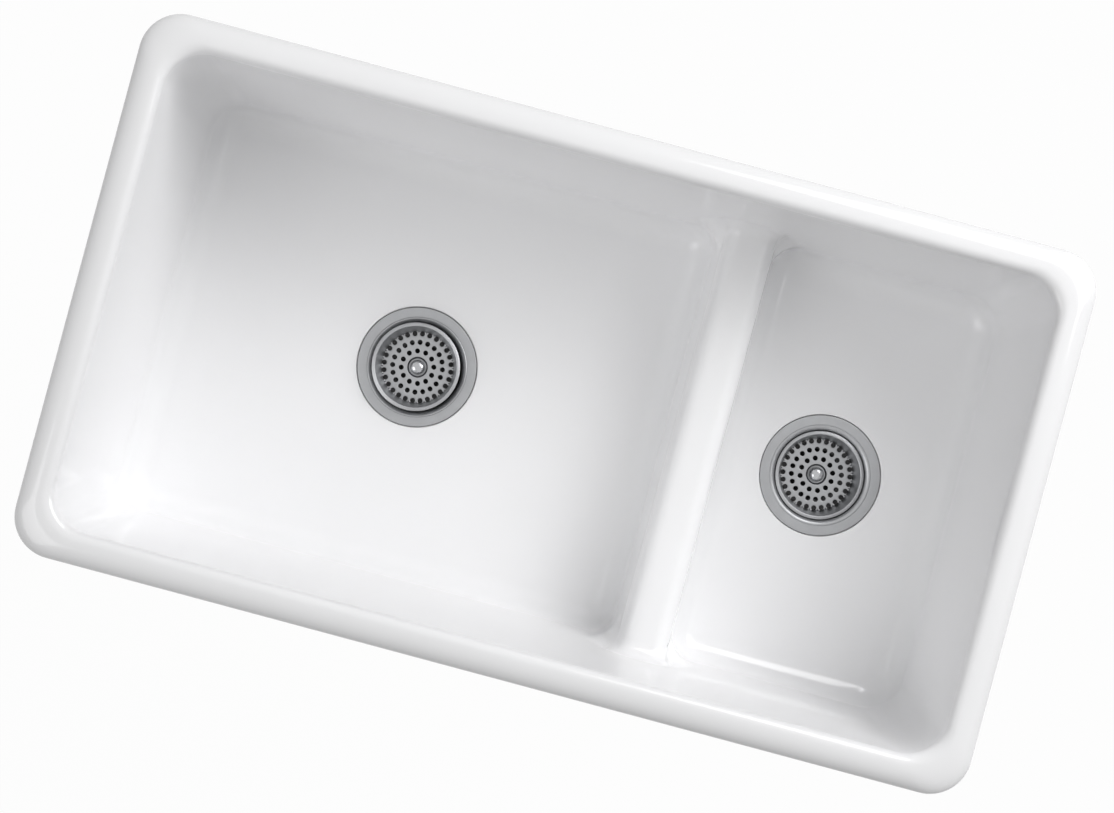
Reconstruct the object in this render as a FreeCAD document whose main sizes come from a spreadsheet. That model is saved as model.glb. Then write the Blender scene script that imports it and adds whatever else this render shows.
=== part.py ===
"""Enamelled cast-iron kitchen sink with two bowls, a low dividing wall and two basket strainers.

The frame: +X runs along the sink towards the smaller bowl, +Y to the back, +Z up. The origin is the
centre of the plane where the rim's foot stands on the counter.
"""
import FreeCAD, Part
import operator
import os
import Sketcher

# The driving dimensions, in mm, and the counts, angles and shares
SIZES = {
    # rim, with its crowned top and its hollow foot
    "rim_length": 838.2,
    "rim_width": 476.25,
    "rim_corner": 36.0,
    "rim_rise": 15.0,
    "lip_width": 28.6,
    "crown_shoulder": 6.5,
    "crown_inset": 13.0,
    "crown_lower_round": 9.0,
    "crown_upper_round": 24.0,
    "lip_inner_round": 7.5,
    # walls and floors of the two bowls
    "wall": 7.0,
    "wall_run": 13.5,
    "opening_corner": 35.0,
    "base_corner": 33.0,
    "bottom_round": 24.0,
    "left_floor_depth": 221.0,
    "left_floor_fall": 5.5,
    "right_floor_depth": 203.0,
    "right_floor_fall": 3.5,
    "floor_ledge": 0.5,
    "floor_corner": 12.0,
    # low wall between the bowls
    "divider_x": 133.0,
    "divider_run": 7.4,
    "crest_depth": 127.0,
    "crest_width": 44.0,
    "crest_round": 9.0,
    "divider_end_round": 28.0,
    # drain holes
    "right_drain_shift": 11.0,
    "drain_hole_gap": 1.8,
    "recess_depth": 1.5,
    "recess_gap": 3.35,
    "recess_flat": 3.5,
    "recess_edge_round": 2.5,
    "drain_wall": 13.3,
    "boss_edge": 5.5,
    # strainer body: flange, cup, outlet and crossbars
    "flange_radius": 57.15,
    "flange_thickness": 2.2,
    "flange_edge_round": 0.9,
    "throat_radius": 42.6,
    "throat_round": 4.3,
    "cup_wall": 1.6,
    "cup_straight": 9.0,
    "cup_depth": 44.0,
    "cup_taper": 2.4,
    "cup_floor_round": 4.0,
    "cup_floor_fall": 2.0,
    "cup_floor_wall": 2.5,
    "thread_depth": 38.0,
    "seat_chamfer": 2.0,
    "outlet_bore": 19.0,
    "outlet_wall": 4.8,
    "outlet_length": 23.5,
    "hub_depth": 53.0,
    "hub_thickness": 4.0,
    "hub_radius": 9.5,
    "hub_bore": 6.0,
    "crossbar_width": 3.2,
    "crossbars": 4,
    # what clamps the strainer to the sink
    "putty_thickness": 1.0,
    "putty_inset": 0.6,
    "gasket_thickness": 3.5,
    "gasket_radius": 58.5,
    "friction_washer_thickness": 1.2,
    "friction_washer_radius": 57.0,
    "ring_gap": 0.4,
    "thread_gap": 0.15,
    "locknut_height": 12.0,
    "locknut_radius": 51.0,
    "locknut_lug_radius": 58.0,
    "locknut_lug_width": 9.0,
    "locknut_lugs": 6,
    # outlet plumbing
    "outlet_washer_thickness": 2.0,
    "tailpiece_radius": 19.05,
    "tailpiece_wall": 1.2,
    "tailpiece_flange": 3.8,
    "tailpiece_flange_thickness": 1.6,
    "tailpiece_root": 0.25,
    "tailpiece_root_drop": 1.1,
    "tailpiece_length": 101.6,
    "coupling_height": 16.0,
    "coupling_shoulder": 2.5,
    "coupling_wall": 3.6,
    "coupling_gap": 0.3,
    "coupling_lug_reach": 2.6,
    "coupling_lug_width": 7.0,
    "coupling_lugs": 8,
    # basket, its plate measured from its top face
    "basket_sheet": 1.0,
    "basket_depth": 24.5,
    "basket_lip_gap": 0.7,
    "basket_lip": 3.5,
    "basket_lip_fall": 1.0,
    "plate_radius": 35.4,
    "plate_corner_round": 2.4,
    "dimple_radius": 9.6,
    "dimple_slope": 1.2,
    "dimple_depth": 2.5,
    "plate_hole_radius": 2.2,
    "inner_ring_radius": 15.6,
    "middle_ring_radius": 24.0,
    "outer_ring_radius": 32.2,
    "inner_ring_holes": 12,
    "middle_ring_holes": 20,
    "outer_ring_holes": 28,
    "closed_plate_depth": 27.0,
    "basket_lift": 19.5,
    "left_basket_turn": 45.0,
    "right_basket_turn": 49.0,
    # post that carries the basket
    "post_radius": 3.0,
    "post_fit": 0.05,
    "end_play": 0.1,
    "knob_radius": 6.9,
    "knob_height": 6.2,
    "knob_round": 4.4,
    "knob_underside": 1.2,
    "knob_neck_radius": 4.2,
    "sleeve_wall": 2.4,
    "sleeve_length": 6.4,
    "stopper_radius": 24.0,
    "stopper_top_radius": 10.0,
    "stopper_cone": 5.5,
    "stopper_rim": 2.9,
    "stopper_spigot_radius": 18.4,
    "stopper_spigot": 2.1,
    "post_nut_flats": 10.0,
    "post_nut_height": 4.0,
    "hex_corner_share": 0.57735,
    "rivet_radius": 3.6,
    "rivet_height": 1.6,
    "spring_strip": 0.8,
    "spring_width": 3.0,
    "spring_leg": 4.6,
    "spring_bulge": 5.5,
    "spring_straight": 15.0,
    "spring_flare": 5.7,
    "spring_tip": 4.2,
    "spring_tip_reach": 2.8,
    # how far a cutting tool passes the face that it cuts
    "overrun": 5.0,
}


class Size:
    """A length that knows its number and the sheet formula that gives it."""

    def __init__(self, number, formula):
        self.number = number
        self.formula = formula

    def joined(self, sign, rule, other, swapped=False):
        other = size_of(other)
        first, second = (other, self) if swapped else (self, other)
        formula = "(%s %s %s)" % (first.formula, sign, second.formula)
        return Size(rule(first.number, second.number), formula)

    def __add__(self, other):
        return self.joined("+", operator.add, other)

    def __radd__(self, other):
        return self.joined("+", operator.add, other, True)

    def __sub__(self, other):
        return self.joined("-", operator.sub, other)

    def __rsub__(self, other):
        return self.joined("-", operator.sub, other, True)

    def __mul__(self, other):
        return self.joined("*", operator.mul, other)

    def __rmul__(self, other):
        return self.joined("*", operator.mul, other, True)

    def __truediv__(self, other):
        return self.joined("/", operator.truediv, other)

    def __neg__(self):
        return Size(-self.number, "(0 - %s)" % self.formula)


def size_of(value):
    return value if isinstance(value, Size) else Size(float(value), repr(value))


def lower_of(first, second):
    formula = "min(%s; %s)" % (first.formula, second.formula)
    return Size(min(first.number, second.number), formula)


def make_sheet(doc):
    """Write every driving dimension into the sheet under its own name."""
    sheet = doc.addObject("Spreadsheet::Sheet", "Sizes")
    for row, (name, number) in enumerate(SIZES.items(), 1):
        sheet.set("A%d" % row, name)
        sheet.set("B%d" % row, str(number))
        sheet.setAlias("B%d" % row, name)
    doc.recompute()


class Names:
    """The sheet's dimensions as Size values, one attribute each."""


def named_sizes():
    names = Names()
    for name, number in SIZES.items():
        setattr(names, name, Size(number, "Sizes." + name))
    return names


DOC = FreeCAD.newDocument("kitchen_sink")
make_sheet(DOC)
S = named_sizes()
ZERO = size_of(0)


# Building blocks

def bind(item, path, size):
    item.setExpression(path, size.formula)


def new_body(label, x=ZERO, z=ZERO):
    body = DOC.addObject("PartDesign::Body", label)
    body.Label = label
    bind(body, "Placement.Base.x", x)
    bind(body, "Placement.Base.z", z)
    return body


def origin_item(body, role):
    return next(item for item in body.Origin.OriginFeatures if item.Role == role)


def new_sketch(body, name, role, height=ZERO):
    """A sketch on one of the body's origin planes, moved off it by a bound height."""
    sketch = body.newObject("Sketcher::SketchObject", name)
    sketch.AttachmentSupport = [(origin_item(body, role), "")]
    sketch.MapMode = "FlatFace"
    bind(sketch, "AttachmentOffset.Base.z", height)
    return sketch


def fix_point(sketch, geometry, end, x, y):
    """Hold one end of a sketch line at bound distances from the sketch's origin."""
    for kind, axis, size in (("DistanceX", -2, x), ("DistanceY", -1, y)):
        if size.number == 0:
            sketch.addConstraint(Sketcher.Constraint("PointOnObject", geometry, end, axis))
        else:
            row = sketch.addConstraint(Sketcher.Constraint(kind, -1, 1, geometry, end, size.number))
            bind(sketch, "Constraints[%d]" % row, size)


def outline(sketch, points):
    """A closed outline of straight lines through bound points."""
    places = [FreeCAD.Vector(x.number, y.number, 0) for x, y in points]
    lines = [Part.LineSegment(a, b) for a, b in zip(places, places[1:] + places[:1])]
    sketch.addGeometry(lines)
    for row in range(len(lines)):
        after = (row + 1) % len(lines)
        sketch.addConstraint(Sketcher.Constraint("Coincident", row, 2, after, 1))
    for row, (x, y) in enumerate(points):
        fix_point(sketch, row, 1, x, y)


def ring(body, name, height, low_x, high_x, half_y, corner):
    """A rounded rectangle, level at a bound height, symmetric about the X axis."""
    sketch = new_sketch(body, name, "XY_Plane", height)
    x0, x1 = low_x.number, high_x.number
    y1, bend = half_y.number, corner.number
    upward = FreeCAD.Vector(0, 0, 1)
    quarter = FreeCAD.Units.Quantity("90 deg").getValueAs("rad").Value
    flats = [((x0 + bend, -y1), (x1 - bend, -y1)), ((x1, -y1 + bend), (x1, y1 - bend)),
             ((x1 - bend, y1), (x0 + bend, y1)), ((x0, y1 - bend), (x0, -y1 + bend))]
    middles = [(x1 - bend, -y1 + bend), (x1 - bend, y1 - bend),
               (x0 + bend, y1 - bend), (x0 + bend, -y1 + bend)]
    for start, finish in flats:
        sketch.addGeometry(Part.LineSegment(FreeCAD.Vector(*start, 0), FreeCAD.Vector(*finish, 0)))
    for turn, middle in enumerate(middles):
        circle = Part.Circle(FreeCAD.Vector(*middle, 0), upward, bend)
        sketch.addGeometry(Part.ArcOfCircle(circle, (turn - 1) * quarter, turn * quarter))
    for side in range(4):
        arc = 4 + side
        sketch.addConstraint(Sketcher.Constraint("Tangent", side, 2, arc, 1))
        sketch.addConstraint(Sketcher.Constraint("Tangent", arc, 2, (side + 1) % 4, 1))
        if side:
            sketch.addConstraint(Sketcher.Constraint("Equal", 4, arc))
    for side, kind in enumerate(("Horizontal", "Vertical", "Horizontal", "Vertical")):
        sketch.addConstraint(Sketcher.Constraint(kind, side))
    radius = sketch.addConstraint(Sketcher.Constraint("Radius", 4, bend))
    bind(sketch, "Constraints[%d]" % radius, corner)
    for kind, side, size in (("DistanceY", 0, -half_y), ("DistanceX", 1, high_x),
                             ("DistanceY", 2, half_y), ("DistanceX", 3, low_x)):
        row = sketch.addConstraint(Sketcher.Constraint(kind, -1, 1, side, 1, size.number))
        bind(sketch, "Constraints[%d]" % row, size)
    return sketch


def disc(body, name, height, x, radius):
    """A circle, level at a bound height, on the X axis."""
    sketch = new_sketch(body, name, "XY_Plane", height)
    circle = Part.Circle(FreeCAD.Vector(x.number, 0, 0), FreeCAD.Vector(0, 0, 1), radius.number)
    sketch.addGeometry(circle)
    row = sketch.addConstraint(Sketcher.Constraint("Radius", 0, radius.number))
    bind(sketch, "Constraints[%d]" % row, radius)
    fix_point(sketch, 0, 3, x, ZERO)
    return sketch


def loft(body, name, first, last):
    feature = body.newObject("PartDesign::AdditiveLoft", name)
    feature.Profile = first
    feature.Sections = [last]
    feature.Ruled = True
    DOC.recompute()
    return feature


def extrude(body, kind, name, sketch, length, reverse=False, both_ways=False):
    feature = body.newObject("PartDesign::" + kind, name)
    feature.Profile = sketch
    bind(feature, "Length", length)
    feature.Reversed = reverse
    if both_ways:
        feature.SideType = "Symmetric"
    DOC.recompute()
    return feature


def fillet(body, name, radius, test):
    """Round every edge of the body's last feature that passes the test."""
    base = body.Tip
    names = ["Edge%d" % row for row, edge in enumerate(base.Shape.Edges, 1) if test(edge)]
    if not names:
        raise ValueError("no edges found for " + name)
    feature = body.newObject("PartDesign::Fillet", name)
    feature.Base = (base, names)
    bind(feature, "Radius", radius)
    DOC.recompute()
    return feature


NEAR = 0.01


def level(edge, height):
    """Whether an edge lies in the level plane at this height."""
    box = edge.BoundBox
    return abs(box.ZMin - height.number) < NEAR and abs(box.ZMax - height.number) < NEAR


def is_circle(edge, radius, height):
    """Whether an edge is a whole level circle of this radius at this height."""
    box = edge.BoundBox
    whole = abs(box.XLength - 2 * radius.number) < NEAR and abs(box.YLength - 2 * radius.number) < NEAR
    return whole and level(edge, height)


def round_circle(body, name, radius, place):
    """Round the circle that the body's outline makes at this radius and height."""
    return fillet(body, name, radius, lambda edge: is_circle(edge, *place))


def turned(label, x, z, points):
    """A body turned about its own upright axis, from bound points of radius and height."""
    body = new_body(label, x, z)
    profile = new_sketch(body, label + "_profile", "XZ_Plane")
    outline(profile, points)
    feature = body.newObject("PartDesign::Revolution", label + "_turn")
    feature.Profile = profile
    feature.ReferenceAxis = (profile, ["V_Axis"])
    DOC.recompute()
    return body


def flat_ring(label, x, z, inner, outer, top, thickness):
    """A body that is a plain flat ring below a bound height."""
    low = top - thickness
    return turned(label, x, z, [(inner, top), (outer, top), (outer, low), (inner, low)])


def bar(body, name, height, near_x, far_x, width):
    """A level rectangle along the X axis."""
    sketch = new_sketch(body, name, "XY_Plane", height)
    outline(sketch, [(near_x, -width / 2), (far_x, -width / 2), (far_x, width / 2), (near_x, width / 2)])
    return sketch


def around(body, name, feature, count):
    """Repeat a feature about the body's upright axis."""
    pattern = body.newObject("PartDesign::PolarPattern", name)
    pattern.Originals = [feature]
    pattern.Axis = (origin_item(body, "Z_Axis"), [""])
    bind(pattern, "Occurrences", count)
    body.Tip = pattern
    DOC.recompute()
    return pattern


# Sizes of the casting, from the counter plane and the middle of the rim

LEFT_FLOOR = S.rim_rise - S.left_floor_depth
RIGHT_FLOOR = S.rim_rise - S.right_floor_depth
DEEPER_FLOOR = lower_of(LEFT_FLOOR, RIGHT_FLOOR)
CREST = S.rim_rise - S.crest_depth
LID = S.rim_rise - S.wall
NEARLY_ROUND_SHARE = 0.99


def drafted(rim_size, height):
    """A half size of the hollow at this height: straight walls, from the rim down to the left floor."""
    fall = (S.rim_rise - height) / S.left_floor_depth
    return rim_size / 2 - S.lip_width - S.wall_run * fall


def half_x(height):
    return drafted(S.rim_length, height)


def half_y(height):
    return drafted(S.rim_width, height)


def plan_corner(height):
    """The corner radius of the hollow at this height."""
    fall = (S.rim_rise - height) / S.left_floor_depth
    return S.opening_corner - (S.opening_corner - S.base_corner) * fall


def divider_half(height):
    """Half the low wall's thickness at this height, straight from its crest to the left floor."""
    return S.crest_width / 2 + S.divider_run * (CREST - height) / (S.left_floor_depth - S.crest_depth)


def left_face(height):
    return S.divider_x - divider_half(height)


def right_face(height):
    return S.divider_x + divider_half(height)


class Bowl:
    """One bowl: its floor's edge and lowest height, and where its drain is."""

    def __init__(self, side, floor, fall, drain_x, low_x, high_x):
        self.side = side
        self.beside_divider = -1 if side == "left" else 1
        self.floor = floor
        self.low = floor - fall
        self.flange = self.low - S.recess_depth
        self.seat = self.flange - S.flange_thickness - S.putty_thickness
        self.underside = self.seat - S.drain_wall
        self.drain_x = drain_x
        self.low_x = low_x
        self.high_x = high_x

    def has_level_edge(self, edge, height):
        """Whether an edge lies level at this height on the bowl's own side of the low wall."""
        across = (edge.BoundBox.Center.x - S.divider_x.number) * self.beside_divider
        return across > 0 and level(edge, height)


LEFT = Bowl("left", LEFT_FLOOR, S.left_floor_fall,
            (left_face(LEFT_FLOOR) - half_x(LEFT_FLOOR)) / 2,
            lambda height: -half_x(height), left_face)
RIGHT = Bowl("right", RIGHT_FLOOR, S.right_floor_fall,
             (right_face(RIGHT_FLOOR) + half_x(RIGHT_FLOOR)) / 2 - S.right_drain_shift,
             right_face, half_x)
BOWLS = (LEFT, RIGHT)
FLOOR_INSET = S.bottom_round + S.floor_ledge
RECESS_RADIUS = S.flange_radius + S.recess_gap
THREAD_RADIUS = S.throat_radius + S.cup_wall


def funnel(body, name, bowl, drop, inset, reach):
    """The shallow slope of a floor: a rounded rectangle inside the bowl's base, round at the drain."""
    top = bowl.floor - drop
    edge = ring(body, name + "_edge", top, bowl.low_x(top) + inset, bowl.high_x(top) - inset,
                half_y(top) - inset, S.floor_corner)
    end = ring(body, name + "_end", bowl.low - drop, bowl.drain_x - reach, bowl.drain_x + reach,
               reach, reach * NEARLY_ROUND_SHARE)
    return loft(body, name, edge, end)


def upright(body, name, x, radius, low, high):
    """A round plug of the body between two heights."""
    return extrude(body, "Pad", name, disc(body, name + "_outline", low, x, radius), high - low)


def make_hollow():
    """The space inside both bowls and their drain holes, which the casting is cut with."""
    body = new_body("hollow")
    top = ring(body, "hollow_top", S.rim_rise, -half_x(S.rim_rise), half_x(S.rim_rise),
               half_y(S.rim_rise), S.opening_corner)
    below = DEEPER_FLOOR - S.overrun
    base = ring(body, "hollow_base", below, -half_x(below), half_x(below), half_y(below), plan_corner(below))
    loft(body, "hollow_walls", top, base)
    extrude(body, "Pad", "hollow_mouth", top, S.overrun)
    beyond = S.rim_length / 2
    divider = new_sketch(body, "divider_section", "XZ_Plane")
    outline(divider, [
        (-beyond, LEFT_FLOOR),
        (left_face(LEFT_FLOOR), LEFT_FLOOR),
        (left_face(CREST), CREST),
        (right_face(CREST), CREST),
        (right_face(RIGHT_FLOOR), RIGHT_FLOOR),
        (beyond, RIGHT_FLOOR),
        (beyond, below - S.overrun),
        (-beyond, below - S.overrun),
    ])
    extrude(body, "Pocket", "divider", divider, S.rim_width, both_ways=True)

    def crest_edge(edge):
        return level(edge, CREST) and edge.BoundBox.YLength > edge.BoundBox.XLength

    def end_edge(edge):
        box = edge.BoundBox
        low_x, high_x = left_face(below).number, right_face(below).number
        near = box.XMin > low_x - 1 and box.XMax < high_x + 1
        beside = box.YMin > 0 or box.YMax < 0
        return near and beside and box.ZMax < CREST.number + 1 and box.ZLength + box.XLength > 1

    fillet(body, "crest_rounds", S.crest_round, crest_edge)
    fillet(body, "divider_ends", S.divider_end_round, end_edge)
    for bowl in BOWLS:
        fillet(body, bowl.side + "_bottom", S.bottom_round,
               lambda edge: bowl.has_level_edge(edge, bowl.floor))
    for bowl in BOWLS:
        funnel(body, bowl.side + "_floor", bowl, ZERO, FLOOR_INSET, RECESS_RADIUS + S.recess_flat)
        upright(body, bowl.side + "_recess", bowl.drain_x, RECESS_RADIUS, bowl.seat, bowl.floor)
        upright(body, bowl.side + "_drain", bowl.drain_x, THREAD_RADIUS + S.drain_hole_gap,
                bowl.underside - S.overrun, bowl.floor)
    return body


def outside_ring(body, name, height, low_x, high_x):
    """The casting's outline one wall outside the hollow, at this height."""
    return ring(body, name, height, low_x - S.wall, high_x + S.wall, half_y(height) + S.wall,
                plan_corner(height) + S.wall)


def make_sink():
    """The one-piece casting: a crowned rim, hollow beneath, and two bowls with a low wall between."""
    body = new_body("sink")
    half_length = S.rim_length / 2
    half_width = S.rim_width / 2

    def rim_ring(name, height, inset, corner):
        reach = half_length - inset
        return ring(body, name, height, -reach, reach, half_width - inset, corner)

    extrude(body, "Pad", "rim_foot", rim_ring("foot_outline", ZERO, ZERO, S.rim_corner), S.crown_shoulder)
    loft(body, "rim_crown", rim_ring("crown_low", S.crown_shoulder, ZERO, S.rim_corner),
         rim_ring("crown_high", S.rim_rise, S.crown_inset, S.rim_corner - S.crown_inset))
    fillet(body, "crown_top", S.crown_upper_round, lambda edge: level(edge, S.rim_rise))
    fillet(body, "crown_side", S.crown_lower_round, lambda edge: level(edge, S.crown_shoulder))
    under = body.newObject("PartDesign::SubtractiveLoft", "rim_underside")
    under.Profile = rim_ring("underside_low", ZERO, S.wall, S.rim_corner - S.wall)
    under.Sections = [rim_ring("underside_high", LID, S.crown_inset, S.rim_corner - S.crown_inset)]
    under.Ruled = True
    DOC.recompute()
    join = (LID + S.rim_rise) / 2
    below_crest = CREST - S.wall
    loft(body, "upper_outside", outside_ring(body, "outside_high", join, -half_x(join), half_x(join)),
         outside_ring(body, "outside_low", below_crest, -half_x(below_crest), half_x(below_crest)))
    for bowl in BOWLS:
        bottom = bowl.floor - S.wall
        loft(body, bowl.side + "_outside",
             outside_ring(body, bowl.side + "_high", CREST, bowl.low_x(CREST), bowl.high_x(CREST)),
             outside_ring(body, bowl.side + "_low", bottom, bowl.low_x(bottom), bowl.high_x(bottom)))
    for bowl in BOWLS:
        fillet(body, bowl.side + "_heel", S.bottom_round + S.wall,
               lambda edge: bowl.has_level_edge(edge, bowl.floor - S.wall))
    for bowl in BOWLS:
        funnel(body, bowl.side + "_belly", bowl, S.wall, FLOOR_INSET,
               RECESS_RADIUS + S.recess_flat + S.wall)
        upright(body, bowl.side + "_boss", bowl.drain_x, RECESS_RADIUS + S.boss_edge,
                bowl.underside, bowl.floor)
    cut = body.newObject("PartDesign::Boolean", "bowls_cut")
    cut.Type = "Cut"
    cut.Group = [make_hollow()]
    body.Tip = cut
    DOC.recompute()

    def mouth_edge(edge):
        box = edge.BoundBox
        across = max(-box.XMin, box.XMax) < half_x(S.rim_rise).number + NEAR
        along = max(-box.YMin, box.YMax) < half_y(S.rim_rise).number + NEAR
        return level(edge, S.rim_rise) and across and along

    def recess_edge(edge):
        return any(is_circle(edge, RECESS_RADIUS, bowl.low) for bowl in BOWLS)

    fillet(body, "mouth_round", S.lip_inner_round, mouth_edge)
    fillet(body, "recess_rounds", S.recess_edge_round, recess_edge)
    return body


# One drain strainer, its heights measured from the top of its flange

CUP_FLOOR = -S.cup_depth
SEAT_LEVEL = CUP_FLOOR - S.cup_floor_fall
CUP_UNDERSIDE = SEAT_LEVEL - S.cup_floor_wall
OUTLET_RADIUS = S.outlet_bore + S.outlet_wall
OUTLET_END = CUP_UNDERSIDE - S.outlet_length
CASTING_SEAT = -S.flange_thickness - S.putty_thickness
CASTING_UNDERSIDE = CASTING_SEAT - S.drain_wall
GASKET_LOW = CASTING_UNDERSIDE - S.gasket_thickness
WASHER_LOW = GASKET_LOW - S.friction_washer_thickness
TAILPIECE_TOP = OUTLET_END - S.outlet_washer_thickness
TAILPIECE_BORE = S.tailpiece_radius - S.tailpiece_wall
TAILPIECE_FLANGE_RADIUS = S.tailpiece_radius + S.tailpiece_flange
TAILPIECE_FLANGE_LOW = TAILPIECE_TOP - S.tailpiece_flange_thickness
TAILPIECE_ROOT_RADIUS = S.tailpiece_radius + S.tailpiece_root
COUPLING_LOW = TAILPIECE_FLANGE_LOW - S.coupling_shoulder


def make_strainer_body(label, x, z):
    """The flanged cup with its threaded outlet, and the crossbars that guide the post."""
    body = turned(label, x, z, [
        (S.flange_radius, -S.flange_thickness),
        (S.flange_radius, ZERO),
        (S.throat_radius, ZERO),
        (S.throat_radius, -S.cup_straight),
        (S.throat_radius - S.cup_taper, CUP_FLOOR),
        (S.outlet_bore + S.seat_chamfer, SEAT_LEVEL),
        (S.outlet_bore, SEAT_LEVEL - S.seat_chamfer),
        (S.outlet_bore, OUTLET_END),
        (OUTLET_RADIUS, OUTLET_END),
        (OUTLET_RADIUS, CUP_UNDERSIDE),
        (THREAD_RADIUS - S.cup_taper, CUP_FLOOR - S.cup_floor_wall),
        (THREAD_RADIUS, -S.thread_depth),
        (THREAD_RADIUS, -S.flange_thickness),
    ])
    round_circle(body, label + "_throat", S.throat_round, (S.throat_radius, ZERO))
    round_circle(body, label + "_cup_corner", S.cup_floor_round,
                 (S.throat_radius - S.cup_taper, CUP_FLOOR))
    round_circle(body, label + "_flange_edge", S.flange_edge_round, (S.flange_radius, ZERO))
    hub_low = -S.hub_depth - S.hub_thickness
    upright(body, label + "_hub", ZERO, S.hub_radius, hub_low, -S.hub_depth)
    arm = extrude(body, "Pad", label + "_arm",
                  bar(body, label + "_arm_outline", hub_low, S.hub_bore + (S.hub_radius - S.hub_bore) / 2,
                      S.outlet_bore + S.outlet_wall / 2, S.crossbar_width), S.hub_thickness)
    around(body, label + "_crossbars", arm, S.crossbars)
    bore = disc(body, label + "_bore_outline", -S.hub_depth, ZERO, S.hub_bore)
    extrude(body, "Pocket", label + "_bore", bore, S.hub_thickness)
    return body


def make_locknut(label, x, z):
    """The ring nut that clamps the cup to the sink, with lugs to turn it by."""
    inner = THREAD_RADIUS + S.thread_gap
    low = WASHER_LOW - S.locknut_height
    body = flat_ring(label, x, z, inner, S.locknut_radius, WASHER_LOW, S.locknut_height)
    lug = extrude(body, "Pad", label + "_lug",
                  bar(body, label + "_lug_outline", low, (inner + S.locknut_radius) / 2,
                      S.locknut_lug_radius, S.locknut_lug_width), S.locknut_height)
    around(body, label + "_lugs", lug, S.locknut_lugs)
    return body


def make_tailpiece(label, x, z):
    """The drain tube, with the flange that the coupling nut pulls up and a thicker root in the nut's hole."""
    root_low = COUPLING_LOW - S.tailpiece_root_drop
    return turned(label, x, z, [
        (TAILPIECE_BORE, TAILPIECE_TOP),
        (TAILPIECE_FLANGE_RADIUS, TAILPIECE_TOP),
        (TAILPIECE_FLANGE_RADIUS, TAILPIECE_FLANGE_LOW),
        (TAILPIECE_ROOT_RADIUS, TAILPIECE_FLANGE_LOW),
        (TAILPIECE_ROOT_RADIUS, root_low),
        (S.tailpiece_radius, root_low),
        (S.tailpiece_radius, TAILPIECE_TOP - S.tailpiece_length),
        (TAILPIECE_BORE, TAILPIECE_TOP - S.tailpiece_length),
    ])


def make_coupling_nut(label, x, z):
    """The slip nut that holds the tailpiece to the outlet."""
    low = COUPLING_LOW
    inner = OUTLET_RADIUS + S.thread_gap
    outer = inner + S.coupling_wall
    hole = TAILPIECE_ROOT_RADIUS + S.coupling_gap
    body = turned(label, x, z, [
        (inner, low + S.coupling_height),
        (outer, low + S.coupling_height),
        (outer, low),
        (hole, low),
        (hole, TAILPIECE_FLANGE_LOW),
        (inner, TAILPIECE_FLANGE_LOW),
    ])
    lug = extrude(body, "Pad", label + "_lug",
                  bar(body, label + "_lug_outline", low, (inner + outer) / 2,
                      outer + S.coupling_lug_reach, S.coupling_lug_width), S.coupling_height)
    around(body, label + "_lugs", lug, S.coupling_lugs)
    return body


# The basket and the post that carries it, measured from the top of the basket's plate

POST_BORE = S.post_radius + S.post_fit
DIMPLE = -S.dimple_depth
SLEEVE_TOP = DIMPLE - S.basket_sheet - S.end_play
STOPPER_TOP = SLEEVE_TOP - S.sleeve_length
STOPPER_RIM_LOW = STOPPER_TOP - S.stopper_cone - S.stopper_rim
NUT_TOP = STOPPER_RIM_LOW - S.stopper_spigot
SPRING_TOP = NUT_TOP - S.post_nut_height
RIVET_TOP = SPRING_TOP - S.spring_strip


def make_basket(label, x, z, turn):
    """The pierced cup that catches waste: a flat plate with a dimple, a flared wall and a rolled lip."""
    lip_radius = S.throat_radius - S.basket_lip_gap
    lip_low = S.basket_depth - S.basket_sheet
    wall_inner = lip_radius - S.basket_lip
    plate_inner = S.plate_radius - S.basket_sheet
    dimple_inner = S.dimple_radius - S.basket_sheet
    body = turned(label, x, z, [
        (POST_BORE, DIMPLE),
        (POST_BORE, DIMPLE - S.basket_sheet),
        (S.dimple_radius, DIMPLE - S.basket_sheet),
        (S.dimple_radius + S.dimple_slope, -S.basket_sheet),
        (S.plate_radius, -S.basket_sheet),
        (wall_inner + S.basket_sheet, lip_low),
        (lip_radius, lip_low - S.basket_lip_fall),
        (lip_radius, S.basket_depth - S.basket_lip_fall),
        (wall_inner, S.basket_depth),
        (plate_inner, ZERO),
        (dimple_inner + S.dimple_slope, ZERO),
        (dimple_inner, DIMPLE),
    ])
    round_circle(body, label + "_heel", S.plate_corner_round, (S.plate_radius, -S.basket_sheet))
    round_circle(body, label + "_corner", S.plate_corner_round - S.basket_sheet, (plate_inner, ZERO))
    for name, radius, count in (("inner", S.inner_ring_radius, S.inner_ring_holes),
                                ("middle", S.middle_ring_radius, S.middle_ring_holes),
                                ("outer", S.outer_ring_radius, S.outer_ring_holes)):
        spot = disc(body, "%s_%s_spot" % (label, name), S.overrun, radius, S.plate_hole_radius)
        hole = extrude(body, "Pocket", "%s_%s_hole" % (label, name), spot, S.basket_sheet + 2 * S.overrun)
        around(body, "%s_%s_holes" % (label, name), hole, count)
    body.Placement.Rotation = FreeCAD.Rotation(FreeCAD.Vector(0, 0, 1), turn.number)
    bind(body, "Placement.Rotation.Angle", turn)
    return body


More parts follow.
